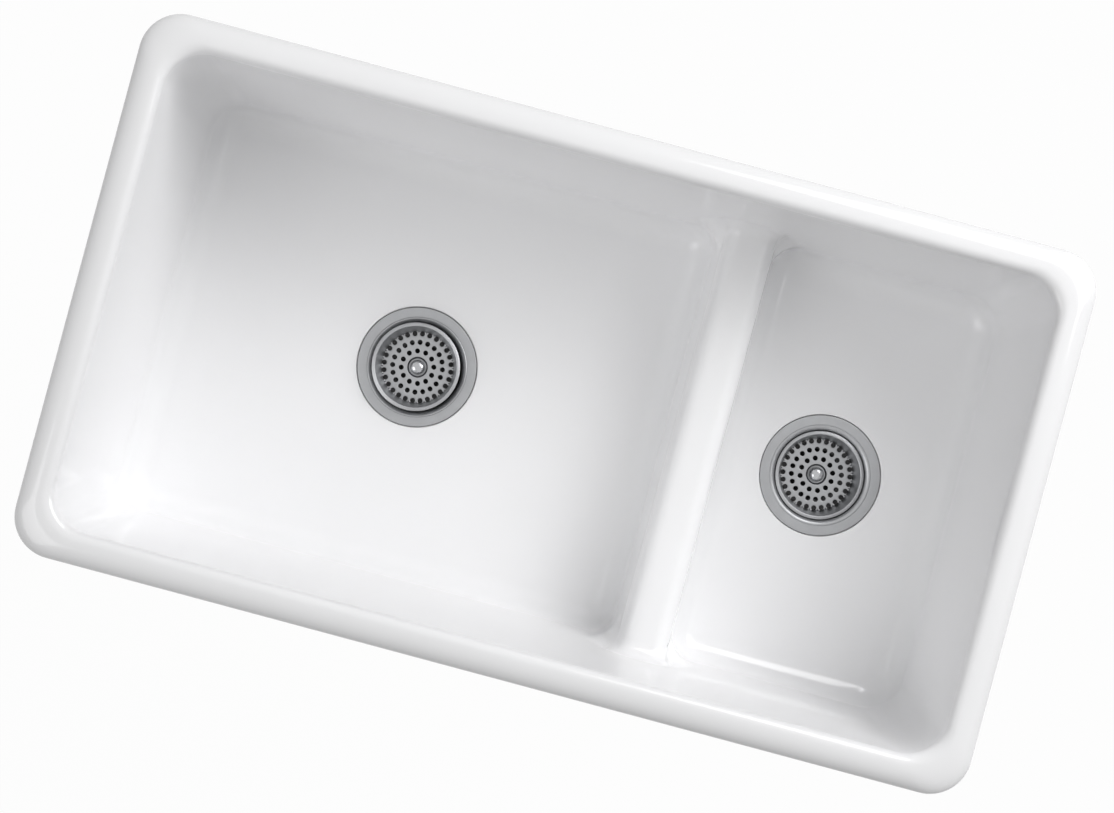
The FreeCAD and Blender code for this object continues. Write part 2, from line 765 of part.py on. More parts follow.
def make_knob_post(label, x, z):
    """The post: a domed knob, a neck above the plate, a sleeve below it, a stem and a riveted end."""
    neck_low = DIMPLE + S.end_play
    sleeve = S.post_radius + S.sleeve_wall
    body = turned(label, x, z, [
        (ZERO, S.knob_height),
        (S.knob_radius, S.knob_height),
        (S.knob_radius, S.knob_underside),
        (S.knob_neck_radius, S.knob_underside),
        (S.knob_neck_radius, neck_low),
        (S.post_radius, neck_low),
        (S.post_radius, SLEEVE_TOP),
        (sleeve, SLEEVE_TOP),
        (sleeve, STOPPER_TOP),
        (S.post_radius, STOPPER_TOP),
        (S.post_radius, RIVET_TOP),
        (S.rivet_radius, RIVET_TOP),
        (S.rivet_radius, RIVET_TOP - S.rivet_height),
        (ZERO, RIVET_TOP - S.rivet_height),
    ])
    round_circle(body, label + "_dome", S.knob_round, (S.knob_radius, S.knob_height))
    return body


def make_stopper(label, x, z):
    """The rubber cone that closes the outlet, with a spigot that enters it."""
    rim_top = STOPPER_TOP - S.stopper_cone
    return turned(label, x, z, [
        (POST_BORE, STOPPER_TOP),
        (S.stopper_top_radius, STOPPER_TOP),
        (S.stopper_radius, rim_top),
        (S.stopper_radius, STOPPER_RIM_LOW),
        (S.stopper_spigot_radius, STOPPER_RIM_LOW),
        (S.stopper_spigot_radius, NUT_TOP),
        (POST_BORE, NUT_TOP),
    ])


def make_stopper_nut(label, x, z):
    """The hexagon nut under the stopper."""
    body = new_body(label, x, z)
    flat = S.post_nut_flats / 2
    corner = S.post_nut_flats * S.hex_corner_share
    hexagon = new_sketch(body, label + "_outline", "XY_Plane", SPRING_TOP)
    outline(hexagon, [(flat, corner / 2), (ZERO, corner), (-flat, corner / 2),
                      (-flat, -corner / 2), (ZERO, -corner), (flat, -corner / 2)])
    extrude(body, "Pad", label + "_block", hexagon, S.post_nut_height)
    bore = disc(body, label + "_bore_outline", NUT_TOP, ZERO, POST_BORE)
    extrude(body, "Pocket", label + "_bore", bore, S.post_nut_height)
    return body


def make_snap_spring(label, x, z):
    """A strip bent into two legs that straddle the post's end and snap through the hub's bore."""
    body = new_body(label, x, z)
    bend = SPRING_TOP - S.spring_straight
    bulge = bend - S.spring_flare
    tip = bulge - S.spring_tip_reach
    outer = [(S.spring_leg, SPRING_TOP), (S.spring_leg, bend),
             (S.spring_bulge, bulge), (S.spring_tip, tip)]
    inner = [(S.spring_tip - S.spring_strip, tip), (S.spring_bulge - S.spring_strip, bulge),
             (S.spring_leg - S.spring_strip, bend), (S.spring_leg - S.spring_strip, RIVET_TOP)]
    right = outer + inner
    section = new_sketch(body, label + "_section", "XZ_Plane")
    outline(section, right + [(-x, z) for x, z in reversed(right)])
    extrude(body, "Pad", label + "_strip", section, S.spring_width, both_ways=True)
    upright(body, label + "_washer", ZERO, S.spring_leg, RIVET_TOP, SPRING_TOP)
    bore = disc(body, label + "_bore_outline", SPRING_TOP, ZERO, POST_BORE)
    extrude(body, "Pocket", label + "_bore", bore, S.spring_strip)
    return body


def make_strainer(bowl, lift, turn):
    """Every piece of one bowl's strainer, at its drain."""
    x, z = bowl.drain_x, bowl.flange
    side = bowl.side + "_"
    thread = THREAD_RADIUS + S.ring_gap
    hole = THREAD_RADIUS + S.drain_hole_gap
    plate = z - S.closed_plate_depth + lift
    return [
        make_strainer_body(side + "strainer_body", x, z),
        flat_ring(side + "putty_ring", x, z, hole + S.putty_inset, S.flange_radius - S.putty_inset,
                  -S.flange_thickness, S.putty_thickness),
        flat_ring(side + "rubber_gasket", x, z, thread, S.gasket_radius, CASTING_UNDERSIDE,
                  S.gasket_thickness),
        flat_ring(side + "friction_washer", x, z, thread, S.friction_washer_radius, GASKET_LOW,
                  S.friction_washer_thickness),
        make_locknut(side + "locknut", x, z),
        flat_ring(side + "tailpiece_washer", x, z, TAILPIECE_BORE, TAILPIECE_FLANGE_RADIUS, OUTLET_END,
                  S.outlet_washer_thickness),
        make_tailpiece(side + "tailpiece", x, z),
        make_coupling_nut(side + "coupling_nut", x, z),
        make_basket(side + "basket", x, plate, turn),
        make_knob_post(side + "knob_post", x, plate),
        make_stopper(side + "stopper", x, plate),
        make_stopper_nut(side + "stopper_nut", x, plate),
        make_snap_spring(side + "snap_spring", x, plate),
    ]


def write_parts(bodies):
    """Check every object and every body's shape, then write one file for each body."""
    DOC.recompute()
    for item in DOC.Objects:
        if "Invalid" in item.State or "Error" in item.State:
            raise ValueError(item.Label + " failed")
    for body in bodies:
        if body.Shape.isNull() or not body.Shape.isValid():
            raise ValueError(body.Label + " has no valid shape")
    os.makedirs("parts", exist_ok=True)
    for body in bodies:
        body.Shape.exportStep("parts/%s.step" % body.Label)


# The left basket stands raised on its spring, and the right one is pushed down and closed
write_parts([make_sink()]
            + make_strainer(LEFT, S.basket_lift, S.left_basket_turn)
            + make_strainer(RIGHT, ZERO, S.right_basket_turn))
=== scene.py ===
"""The looks of an enamelled cast-iron kitchen sink with two bowls and two basket strainers.

Shapes are worked out in millimetres in the sink's own frame: +X towards the small bowl, +Y to the back,
+Z up, and the rim's foot at zero. They go into their meshes in metres.
"""
import bpy
import numpy as np
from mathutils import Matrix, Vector


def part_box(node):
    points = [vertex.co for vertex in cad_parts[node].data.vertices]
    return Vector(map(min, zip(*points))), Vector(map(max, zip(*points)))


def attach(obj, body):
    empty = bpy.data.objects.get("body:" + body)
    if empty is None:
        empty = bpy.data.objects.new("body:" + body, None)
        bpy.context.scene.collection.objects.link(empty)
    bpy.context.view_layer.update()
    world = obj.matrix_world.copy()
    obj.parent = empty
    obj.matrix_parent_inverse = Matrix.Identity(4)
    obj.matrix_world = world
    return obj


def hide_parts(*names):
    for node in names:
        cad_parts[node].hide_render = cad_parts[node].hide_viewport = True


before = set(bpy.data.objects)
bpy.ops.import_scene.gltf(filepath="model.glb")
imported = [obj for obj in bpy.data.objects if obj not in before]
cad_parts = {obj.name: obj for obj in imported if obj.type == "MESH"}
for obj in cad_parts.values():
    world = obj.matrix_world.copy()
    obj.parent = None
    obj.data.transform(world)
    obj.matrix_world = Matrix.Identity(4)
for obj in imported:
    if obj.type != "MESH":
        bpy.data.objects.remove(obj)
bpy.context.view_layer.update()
MM = 0.001


def corners(node):
    """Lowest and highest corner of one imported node, in millimetres."""
    return [np.array(corner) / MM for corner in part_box(node)]


# Rim and walls of the casting

RIM_X, RIM_Y, RIM_TOP = corners("sink")[1]
RIM_CORNER = 36.0
LIP = 28.6
CASTING = 7.0
WALL_RUN = 13.5
WALL_DROP = 221.0
DRAFT = np.arctan2(WALL_RUN, WALL_DROP)
MOUTH_CORNER = 35.0
CORNER_LOSS = 2.0
BOTTOM_ROUND = 24.0
EDGE_ROUND = 8.0
# The shoulder is the height at which the crown starts, and the lid the rim's flat underside
SHOULDER = 3.0
LID = 8.0
LID_ROUND = 3.0
FOOT_ROUND = 1.2
# The skirt's inner face as inset and height, from the lid down to the foot
SKIRT = [(15.0, LID), (13.7, 7.85), (12.7, 7.3), (11.9, 6.5), (9.5, 3.7), (7.6, 1.4), (7.15, 0.75),
         (6.7, 0.2), (6.0, 0.0)]
# Insets under the rim, and the outline's corner radius at each
SKIRT_CORNERS = ((0.0, 13.0, 22.0), (RIM_CORNER, 23.0, 42.0))

# Low wall between the bowls, with the levels over which the blends at its ends change

DIVIDER_X = 133.0
DIVIDER_RUN = 7.4
DIVIDER_DROP = 94.0
DIVIDER_END = 28.0
CREST = -112.0
CREST_HALF = 22.0
CREST_ROUND = 13.0
CREST_CROWN = 0.8
SADDLE_ROUND = 14.0
LOWER_BLEND = (-178.0, -150.0)
UPPER_BLEND = (-148.0, -116.0)

# Floors and drains

FLOOR_INSET = 24.5
FLOOR_CREASE = 6.0
FLOOR_SQUARENESS = 14
FLOOR_END = 64.0
RECESS = 57.6
RECESS_LIP = 1.1
RECESS_DEPTH = 3.2
DRAIN_HOLE = 46.0
BOSS = 66.0
BOSS_DEPTH = 13.3

# Flanged cup of a strainer, with levels from the flange's top

FLANGE = 57.15
FLANGE_UNDER = -2.2
GROOVE = 47.9
THROAT = 42.6
THROAT_END = -9.0
CUP = 44.2
OUTLET = 19.0
OUTLET_OUTSIDE = 23.8
OUTLET_END = -72.0
CUP_PITCH = 2.1
OUTLET_PITCH = 1.8
THREAD_DEPTH = 0.45
HUB = 9.5
HUB_BORE = 6.0
HUB_LEVEL = -55.0
HUB_HALF = 2.0
BAR_HALF_WIDTH = 1.6
BAR_HALF_HEIGHT = 1.9
BAR_BEVEL = 0.5

# Basket and what hangs on its post, with levels from the plate's top

SHEET = 1.0
DIMPLE = 8.6
DIMPLE_EDGE = 9.8
DIMPLE_DEPTH = 2.5
POST_HOLE = 3.05
PLATE = 35.4
PLATE_HOLE = 2.4
HOLE_BEVEL = 0.2
# Radius and count of each ring of holes, and the radii at which their cells meet
HOLE_RINGS = ((15.6, 12), (24.0, 20), (32.2, 28))
BAND_EDGES = (11.4, 19.8, 28.1, 34.9)
BASKET_HEIGHT = 24.5
INNER_FOOT_ROUND = 1.5
OUTER_FOOT_ROUND = 3.0
FLARE = 4.0
WALL_SLOPE = BASKET_HEIGHT / FLARE
LIP_EDGE = 41.9
STOPPER_TOP = -10.0

# Counts of mesh columns along each stretch, and of rows

SIDE_COLUMNS = 40
CORNER_COLUMNS = 18
LONG_COLUMNS = {"left": 44, "right": 18}
DIVIDER_COLUMNS = 16
CREST_ROWS = 34
WALL_ROWS = 14
FLOOR_ROWS = 22
CUP_COLUMNS = 144
HUB_COLUMNS = 72
POST_COLUMNS = 96
PLATE_COLUMNS = 420
# Turns, seen from a round's centre, of the rows between its start and its middle
LEG_ANGLES = np.radians(np.linspace(0.0, 45.0, 7))
# Rows at each end of the low wall's top: down the straight wall, then to the middle of the round
DROP_ROWS = 5
END_ROWS = DROP_ROWS + len(LEG_ANGLES) - 1
# Mesh rings where a floor meets its drain, inside and outside, and the loop over the low wall
INNER_RING = 62.0
OUTER_RING = 69.0
COLLAR = -80.0
COLLAR_STEP = 9.0
COLLAR_HALF = 54.0
# Places of the columns across the low wall, from -1 to 1, gathered towards its edges as a sine's are
GATHER = 1.2
COLUMN_SPREAD = np.sin(np.linspace(-1.0, 1.0, DIVIDER_COLUMNS + 1) * GATHER) / np.sin(GATHER)


def run(z):
    """How far the drafted walls have come in at a height."""
    return WALL_RUN * (RIM_TOP - z) / WALL_DROP


def half_x(z):
    """Where the left and right walls are at a height."""
    return RIM_X - LIP - run(z)


def half_y(z):
    """Where the front and back walls are at a height."""
    return RIM_Y - LIP - run(z)


def wall_corner(z):
    """Radius of the upright corners between the walls at a height."""
    return MOUTH_CORNER - CORNER_LOSS * (RIM_TOP - z) / WALL_DROP


def divider_half(z):
    """Half the low wall's thickness at a height."""
    return CREST_HALF + DIVIDER_RUN * (CREST - z) / DIVIDER_DROP


def smooth(t):
    """A soft step from 0 to 1: three t squared less two t cubed."""
    t = np.clip(t, 0.0, 1.0)
    return t * t * (3.0 - 2.0 * t)


def soft_rise(value, width):
    """Zero, then the value itself, with a parabola between minus and plus the width."""
    return np.where(value > width, value, np.clip(value + width, 0.0, 2 * width) ** 2 / (4 * width))


class Bowl:
    """One bowl: its floor and drain, and the turn that brings it to the right of the low wall."""

    def __init__(self, side, floor, fall, holes_heading):
        low, high = corners(side + "_strainer_body")
        self.side = side
        self.turn = -1.0 if side == "left" else 1.0
        self.floor = floor
        self.low = floor - fall
        self.drain_x = (low[0] + high[0]) / 2
        self.flange = high[2]
        self.plate = corners(side + "_basket")[0][2] + DIMPLE_DEPTH + SHEET
        self.seat = self.flange - RECESS_DEPTH
        self.underside = self.seat - BOSS_DEPTH
        self.holes_heading = np.radians(holes_heading)

    def face(self, z):
        """Where the low wall's face is, in the bowl's own turned X."""
        return self.turn * DIVIDER_X + divider_half(z)


LEFT = Bowl("left", floor=-206.0, fall=5.5, holes_heading=45.0)
RIGHT = Bowl("right", floor=-188.0, fall=3.5, holes_heading=49.0)
BOWLS = (LEFT, RIGHT)


# The space inside the casting, as a function that is zero on the enamel and grows into the iron

def rounded_meet(a, b, r):
    """The higher of two distances, with a round of radius r where both surfaces meet."""
    return np.minimum(-r, np.maximum(a, b)) + np.hypot(np.maximum(a + r, 0.0), np.maximum(b + r, 0.0))


def floor_height(bowl, x, y):
    """Height of a floor: level at its edge, past a soft crease straight down to a circle at the drain.

    The edge is a rounded rectangle, where a high norm of the scaled offsets from the drain is one.
    """
    dx = bowl.turn * (x - bowl.drain_x)
    near = bowl.turn * bowl.drain_x - bowl.face(bowl.floor) - FLOOR_INSET
    far = half_x(bowl.floor) - FLOOR_INSET - bowl.turn * bowl.drain_x
    across = np.abs(dx) / np.where(dx > 0, far, near)
    along = np.abs(y) / (half_y(bowl.floor) - FLOOR_INSET)
    share = (across ** FLOOR_SQUARENESS + along ** FLOOR_SQUARENESS) ** (1 / FLOOR_SQUARENESS) + 1e-9
    reach = np.hypot(dx, y)
    edge = reach / share
    inside = soft_rise(edge - reach, FLOOR_CREASE)
    return bowl.floor - (bowl.floor - bowl.low) * np.clip(inside / (edge - FLOOR_END), 0.0, 1.0)


def cavity(points):
    """Rounded meetings of the four walls, the two floors and the low wall between the bowls.

    The low wall's blend into the others widens above the floors and narrows again towards its crest.
    """
    x, y, z = np.moveaxis(points, -1, 0)
    lean = np.cos(DRAFT)
    walls = rounded_meet((np.abs(x) - half_x(z)) * lean, (np.abs(y) - half_y(z)) * lean, wall_corner(z))
    floor = np.where(x < DIVIDER_X, floor_height(LEFT, x, y), floor_height(RIGHT, x, y))
    box = rounded_meet(walls, floor - z, BOTTOM_ROUND)
    crown = CREST_CROWN * np.clip((x - DIVIDER_X) / CREST_HALF, -1.0, 1.0) ** 2
    faces = (np.abs(x - DIVIDER_X) - divider_half(z)) * np.cos(np.arctan2(DIVIDER_RUN, DIVIDER_DROP))
    divider = rounded_meet(faces, z - CREST + crown, CREST_ROUND)
    wider, narrower = [smooth((z - low) / (high - low)) for low, high in (LOWER_BLEND, UPPER_BLEND)]
    deep = BOTTOM_ROUND + (DIVIDER_END - BOTTOM_ROUND) * wider
    return rounded_meet(box, -divider, deep - (DIVIDER_END - SADDLE_ROUND) * narrower)


def slope(points):
    """Gradient of the cavity function by central differences."""
    step = 0.02
    shifts = np.eye(3) * step
    return np.stack([(cavity(points + s) - cavity(points - s)) / (2 * step) for s in shifts], axis=-1)


def settle(points, level=0.0):
    """Move points along the gradient, in eight Newton steps, until the cavity function has this value."""
    for _ in range(8):
        way = slope(points)
        step = (cavity(points) - level) / (way ** 2).sum(axis=-1)
        points = points - way * step[..., None]
    return points


def thicken(points):
    """The matching points one casting thickness outside the enamel."""
    way = slope(points)
    way = way / np.linalg.norm(way, axis=-1, keepdims=True)
    return settle(points + way * CASTING, CASTING)


# Level outlines

def line(start, finish, shares):
    """Points between two ends at these shares of the way.

    A count in place of the shares means that many even ones, with the last end left out.
    """
    if np.isscalar(shares):
        shares = np.arange(shares) / shares
    start, finish = np.array(start), np.array(finish)
    return start + (finish - start) * shares[:, None]


def quarter(cx, cy, radius, degrees, count):
    """A quarter circle of points from this heading, its last end left out."""
    angle = np.radians(degrees + 90.0 * np.arange(count) / count)
    return np.stack([cx + radius * np.cos(angle), cy + radius * np.sin(angle)], axis=-1)


def rim_outline(hx, hy, r):
    """A rounded rectangle from the front right of the low wall, anticlockwise seen from above."""
    left, right = DIVIDER_X - COLLAR_HALF, DIVIDER_X + COLLAR_HALF
    shares = (COLUMN_SPREAD[:-1] + 1) / 2
    few, many = LONG_COLUMNS["right"], LONG_COLUMNS["left"]
    return np.concatenate([
        line((right, -hy), (hx - r, -hy), few),
        quarter(hx - r, -hy + r, r, -90, CORNER_COLUMNS),
        line((hx, -hy + r), (hx, hy - r), SIDE_COLUMNS),
        quarter(hx - r, hy - r, r, 0, CORNER_COLUMNS),
        line((hx - r, hy), (right, hy), few),
        line((right, hy), (left, hy), shares),
        line((left, hy), (-hx + r, hy), many),
        quarter(-hx + r, hy - r, r, 90, CORNER_COLUMNS),
        line((-hx, hy - r), (-hx, -hy + r), SIDE_COLUMNS),
        quarter(-hx + r, -hy + r, r, 180, CORNER_COLUMNS),
        line((-hx + r, -hy), (left, -hy), many),
        line((left, -hy), (right, -hy), shares),
    ])


def bowl_outline(bowl, z, inset, shares):
    """One bowl's outline at a height and inset, in the same order, ending along the low wall's face."""
    tightest = 9.0
    face = bowl.face(z) + inset
    hx, hy = half_x(z) - inset, half_y(z) - inset
    outer = max(wall_corner(z) - inset, tightest)
    inner = max(DIVIDER_END - inset, tightest)
    count = LONG_COLUMNS[bowl.side]
    return bowl.turn * np.concatenate([
        line((face + inner, -hy), (hx - outer, -hy), count),
        quarter(hx - outer, -hy + outer, outer, -90, CORNER_COLUMNS),
        line((hx, -hy + outer), (hx, hy - outer), SIDE_COLUMNS),
        quarter(hx - outer, hy - outer, outer, 0, CORNER_COLUMNS),
        line((hx - outer, hy), (face + inner, hy), count),
        quarter(face + inner, hy - inner, inner, 90, END_ROWS),
        line((face, hy - inner), (face, -hy + inner), shares),
        quarter(face + inner, -hy + inner, inner, 180, END_ROWS),
    ])


def at_height(outline, z):
    """A level outline, with one height or one for each of its points, as points in space."""
    return np.column_stack([outline, np.broadcast_to(z, len(outline))])


# Meshes

class Skin:
    """Grids of points gathered for one mesh, each grid with the number of its finish."""

    def __init__(self):
        self.points = []
        self.faces = []
        self.finishes = []
        self.count = 0

    def cover(self, rows, closed=True, finish=0):
        """Faces between each row of points and the next; closed rows join their ends.

        They face up where the columns run anticlockwise and the rows inwards.
        """
        if closed:
            rows = np.concatenate([rows, rows[:, :1]], axis=1)
        numbers = self.count + np.arange(rows[..., 0].size).reshape(rows.shape[:2])
        faces = np.stack([numbers[:-1, :-1], numbers[:-1, 1:], numbers[1:, 1:], numbers[1:, :-1]], axis=-1)
        self.points.append(rows.reshape(-1, 3))
        self.faces.append(faces.reshape(-1, 4))
        self.finishes.append(np.full(len(self.faces[-1]), finish))
        self.count += numbers.size

    def piece(self, name, body, materials, nodes, sharp=35.0):
        """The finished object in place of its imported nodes, smooth but for edges over the sharp angle.

        Points in one cube of a thousandth of a millimetre become one, and faces that lose a side by it
        become triangles. The cubes are shifted, so that round sizes don't fall on their sides.
        """
        cubes_per_mm, shift = 1000.0, 0.37
        points = np.concatenate(self.points)
        cubes = np.floor(points * cubes_per_mm + shift).astype(np.int64)
        _, first, number = np.unique(cubes, axis=0, return_index=True, return_inverse=True)
        faces = number.reshape(-1)[np.concatenate(self.faces)]
        doubled = faces == np.roll(faces, -1, axis=1)
        whole = ~doubled.any(axis=1)
        pointed = doubled.sum(axis=1) == 1
        triangles = faces[pointed][~doubled[pointed]].reshape(-1, 3)
        finishes = np.concatenate(self.finishes)
        mesh = bpy.data.meshes.new(name)
        mesh.from_pydata((points[first] * MM).tolist(), [], faces[whole].tolist() + triangles.tolist())
        for material in materials:
            mesh.materials.append(material)
        finishes = np.concatenate([finishes[whole], finishes[pointed]]).astype(np.int32)
        mesh.polygons.foreach_set("material_index", finishes)
        mesh.polygons.foreach_set("use_smooth", np.ones(len(finishes), dtype=bool))
        mesh.set_sharp_from_angle(angle=np.radians(sharp))
        thing = bpy.data.objects.new(name, mesh)
        bpy.context.scene.collection.objects.link(thing)
        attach(thing, body)
        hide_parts(*nodes)


# The casting's parts

def rim_rows():
    """The rim's section as rows of inset, height and corner radius, in two runs that meet on the foot.

    The first goes up the outer wall, out under the lid and down inside the skirt to the foot. The second
    goes round the foot's edge, over a crown that is a quarter ellipse, and round the inner edge to the wall.
    """
    def outer_inset(z):
        """Inset of the wall's outer face, one casting thickness outside the enamel."""
        return LIP + run(z) - CASTING / np.cos(DRAFT)

    last = COLLAR + COLLAR_STEP
    outer_rows, crown_rows, edge_rows, inner_rows = 9, 21, 11, 8
    below = [(outer_inset(z), z, wall_corner(z) + CASTING)
             for z in np.linspace(last, LID - LID_ROUND, outer_rows)]
    skirt = [(outer_inset(LID) - LID_ROUND * (1 - np.cos(a)), LID - LID_ROUND * (1 - np.sin(a)))
             for a in np.radians([30, 60, 90])] + SKIRT
    edge = [(FOOT_ROUND * (1 - np.sin(a)), FOOT_ROUND * (1 - np.cos(a)))
            for a in np.radians([0, 30, 60, 90])]
    below += [(i, z, np.interp(i, *SKIRT_CORNERS)) for i, z in skirt + edge[:1]]
    over = [(i, z, np.interp(i, *SKIRT_CORNERS)) for i, z in edge]
    apex = LIP + run(RIM_TOP - EDGE_ROUND) - EDGE_ROUND / np.cos(DRAFT)
    crown = [(0.0, (FOOT_ROUND + SHOULDER) / 2)]
    crown += [(apex * (1 - np.cos(a)), SHOULDER + (RIM_TOP - SHOULDER) * np.sin(a))
              for a in np.radians(np.linspace(0.0, 90.0, crown_rows))]
    crown += [(apex + EDGE_ROUND * np.cos(a), RIM_TOP - EDGE_ROUND * (1 - np.sin(a)))
              for a in np.linspace(np.pi / 2, DRAFT, edge_rows)[1:]]
    over += [(i, z, np.interp(i, (0.0, LIP), (RIM_CORNER, MOUTH_CORNER))) for i, z in crown]
    over += [(LIP + run(z), z, wall_corner(z)) for z in np.linspace(0.0, last, inner_rows)]
    return below, over


def collar():
    """The ring round both bowls where the wall is still whole, above the low wall's ends."""
    return at_height(rim_outline(half_x(COLLAR), half_y(COLLAR), wall_corner(COLLAR)), COLLAR)


def saddle():
    """The low wall's top: rows from the front wall down to the crest, along it, and up the back wall."""
    leg = SADDLE_ROUND * (1 - np.tan(LEG_ANGLES))
    drop = np.linspace(COLLAR, CREST + SADDLE_ROUND, DROP_ROWS + 1)
    wall = np.concatenate([drop[:-1], CREST + leg])
    end = half_y(CREST)
    middle = np.linspace(-(end - SADDLE_ROUND), end - SADDLE_ROUND, CREST_ROWS + 1)
    crest = np.concatenate([-end + leg[-2:0:-1], middle, end - leg[1:-1]])
    y = np.concatenate([-half_y(wall), crest, half_y(wall[::-1])])
    z = np.concatenate([wall, np.full(len(crest), CREST), wall[::-1]])
    width = CREST_HALF + (COLLAR_HALF - CREST_HALF) * (z - CREST) / (COLLAR - CREST)
    x = DIVIDER_X + width[:, None] * COLUMN_SPREAD
    return np.stack(np.broadcast_arrays(x, y[:, None], z[:, None]), axis=-1)


def bowl_rows(bowl, top, shares, reach):
    """A bowl's rows from its upper loop: down the wall, round the bottom and over the floor to a ring.

    Each column keeps its place along the outline, which turns from the upper loop's into the bowl's own.
    The heights on the floor are first guesses, which settling corrects.
    """
    turning_share, crowding = 0.35, 1.2
    upper = bowl_outline(bowl, COLLAR, 0.0, shares)
    lower = bowl_outline(bowl, bowl.floor, 0.0, shares)
    rise = BOTTOM_ROUND * (1 - np.tan(LEG_ANGLES))

    def outline(z):
        """The outline at a height, on the straight way between the lower and the upper one."""
        return lower + (upper - lower) * ((z - bowl.floor) / (COLLAR - bowl.floor))[:, None]

    rows = []
    for t in np.linspace(0, 1, WALL_ROWS + 1)[1:]:
        z = top[:, 2] + (bowl.floor + rise[0] - top[:, 2]) * t
        own = smooth(t / turning_share)
        rows.append(at_height(top[:, :2] * (1 - own) + outline(z) * own, z))
    for height in rise[1:]:
        z = np.full(len(top), bowl.floor + height)
        rows.append(at_height(outline(z), z))
    for inset in (*rise[-2::-1], FLOOR_INSET + 0.7, FLOOR_INSET + 2.0):
        rows.append(at_height(bowl_outline(bowl, bowl.floor, inset, shares), bowl.floor - 0.5))
    edge = rows[-1][:, :2]
    middle = np.array([bowl.drain_x, 0.0])
    ring = middle + reach * (edge - middle) / np.linalg.norm(edge - middle, axis=1, keepdims=True)
    for t in (np.arange(1, FLOOR_ROWS) / FLOOR_ROWS) ** crowding:
        rows.append(at_height(edge + (ring - edge) * t, bowl.floor - 2.0))
    return np.concatenate([top[None], settle(np.stack(rows)), at_height(ring, bowl.low)[None]])


def drain_rows(bowl, ring):
    """The drain's section carried round it, in two runs that meet at the hole's lower edge.

    The first goes over the recess's lip, down to the seat and through the hole. The second goes out under
    the boss and up its side to the casting's underside. The small numbers are the rounds of the edges.
    """
    low, seat, under = bowl.low, bowl.seat, bowl.underside
    root = low - CASTING
    through = [(RECESS + 1.5, low)]
    through += [(RECESS + RECESS_LIP * (1 - np.sin(a)), low - RECESS_LIP * (1 - np.cos(a)))
                for a in np.radians(np.arange(15, 91, 15))]
    through += [(RECESS, seat + 0.3), (RECESS - 0.05, seat + 0.1), (RECESS - 0.2, seat),
                (DRAIN_HOLE + 1.2, seat), (DRAIN_HOLE + 0.3, seat - 0.3), (DRAIN_HOLE, seat - 1.0),
                (DRAIN_HOLE, under + 1.0), (DRAIN_HOLE + 0.3, under + 0.3)]
    beneath = [through[-1], (DRAIN_HOLE + 1.0, under), (BOSS - 1.2, under), (BOSS - 0.4, under + 0.35),
               (BOSS, under + 1.2), (BOSS, root - 2.6), (BOSS + 0.5, root - 1.0), (BOSS + 1.6, root - 0.2)]
    middle = np.array([bowl.drain_x, 0.0])
    away = (ring - middle) / np.linalg.norm(ring - middle, axis=1, keepdims=True)
    return [np.stack([at_height(middle + r * away, z) for r, z in section])
            for section in (through, beneath)]


def make_casting(enamel, ground_coat):
    """The enamelled casting as one closed sheet: enamel inside and over the rim, ground coat outside."""
    skin = Skin()
    neck = collar()
    first_top = saddle()
    top = settle(first_top)
    crest_y = first_top[END_ROWS:-END_ROWS, 0, 1]
    shares = ((crest_y / half_y(CREST) + 1) / 2)[:-1]
    right_end = 2 * LONG_COLUMNS["right"] + 2 * CORNER_COLUMNS + SIDE_COLUMNS
    left_start = right_end + DIVIDER_COLUMNS
    left_end = len(neck) - DIVIDER_COLUMNS

    def bowl_loops(ring, crest):
        """Both bowls' upper loops, from the collar's ring and the low wall's top."""
        return {"right": np.concatenate([ring[:right_end + 1], crest[-2:0:-1, -1]]),
                "left": np.concatenate([ring[left_start:left_end + 1], crest[1:-1, 0]])}

    def low_wall_top(ring, crest):
        """The low wall's top, with the collar's own points for its first and last row."""
        front = np.concatenate([ring[left_end:], ring[:1]])
        back = ring[right_end:left_start + 1][::-1]
        return np.concatenate([front[None], crest[1:-1], back[None]])

    outer_neck, outer_top = thicken(neck), thicken(top)
    skin.cover(low_wall_top(neck, top), closed=False)
    skin.cover(low_wall_top(outer_neck, outer_top)[::-1], closed=False, finish=1)
    for bowl in BOWLS:
        start = bowl_loops(neck, top)[bowl.side]
        outer_start = bowl_loops(outer_neck, outer_top)[bowl.side]
        inner = bowl_rows(bowl, start, shares, INNER_RING)
        outer = bowl_rows(bowl, start, shares, OUTER_RING)
        boss = outer[-1] - (0.0, 0.0, CASTING)
        outer = np.concatenate([outer_start[None], thicken(outer[1:-1]), boss[None]])
        through, beneath = drain_rows(bowl, inner[-1, :, :2])
        skin.cover(np.concatenate([inner, through]))
        skin.cover(np.concatenate([beneath, outer[::-1]]), finish=1)
    below, over = [[at_height(rim_outline(RIM_X - i, RIM_Y - i, r), z) for i, z, r in rows]
                   for rows in rim_rows()]
    skin.cover(np.stack([outer_neck] + below), finish=1)
    skin.cover(np.stack(over + [neck]))
    skin.piece("enamelled_casting", "root", [enamel, ground_coat], ["sink"], sharp=50.0)


# The strainers' parts

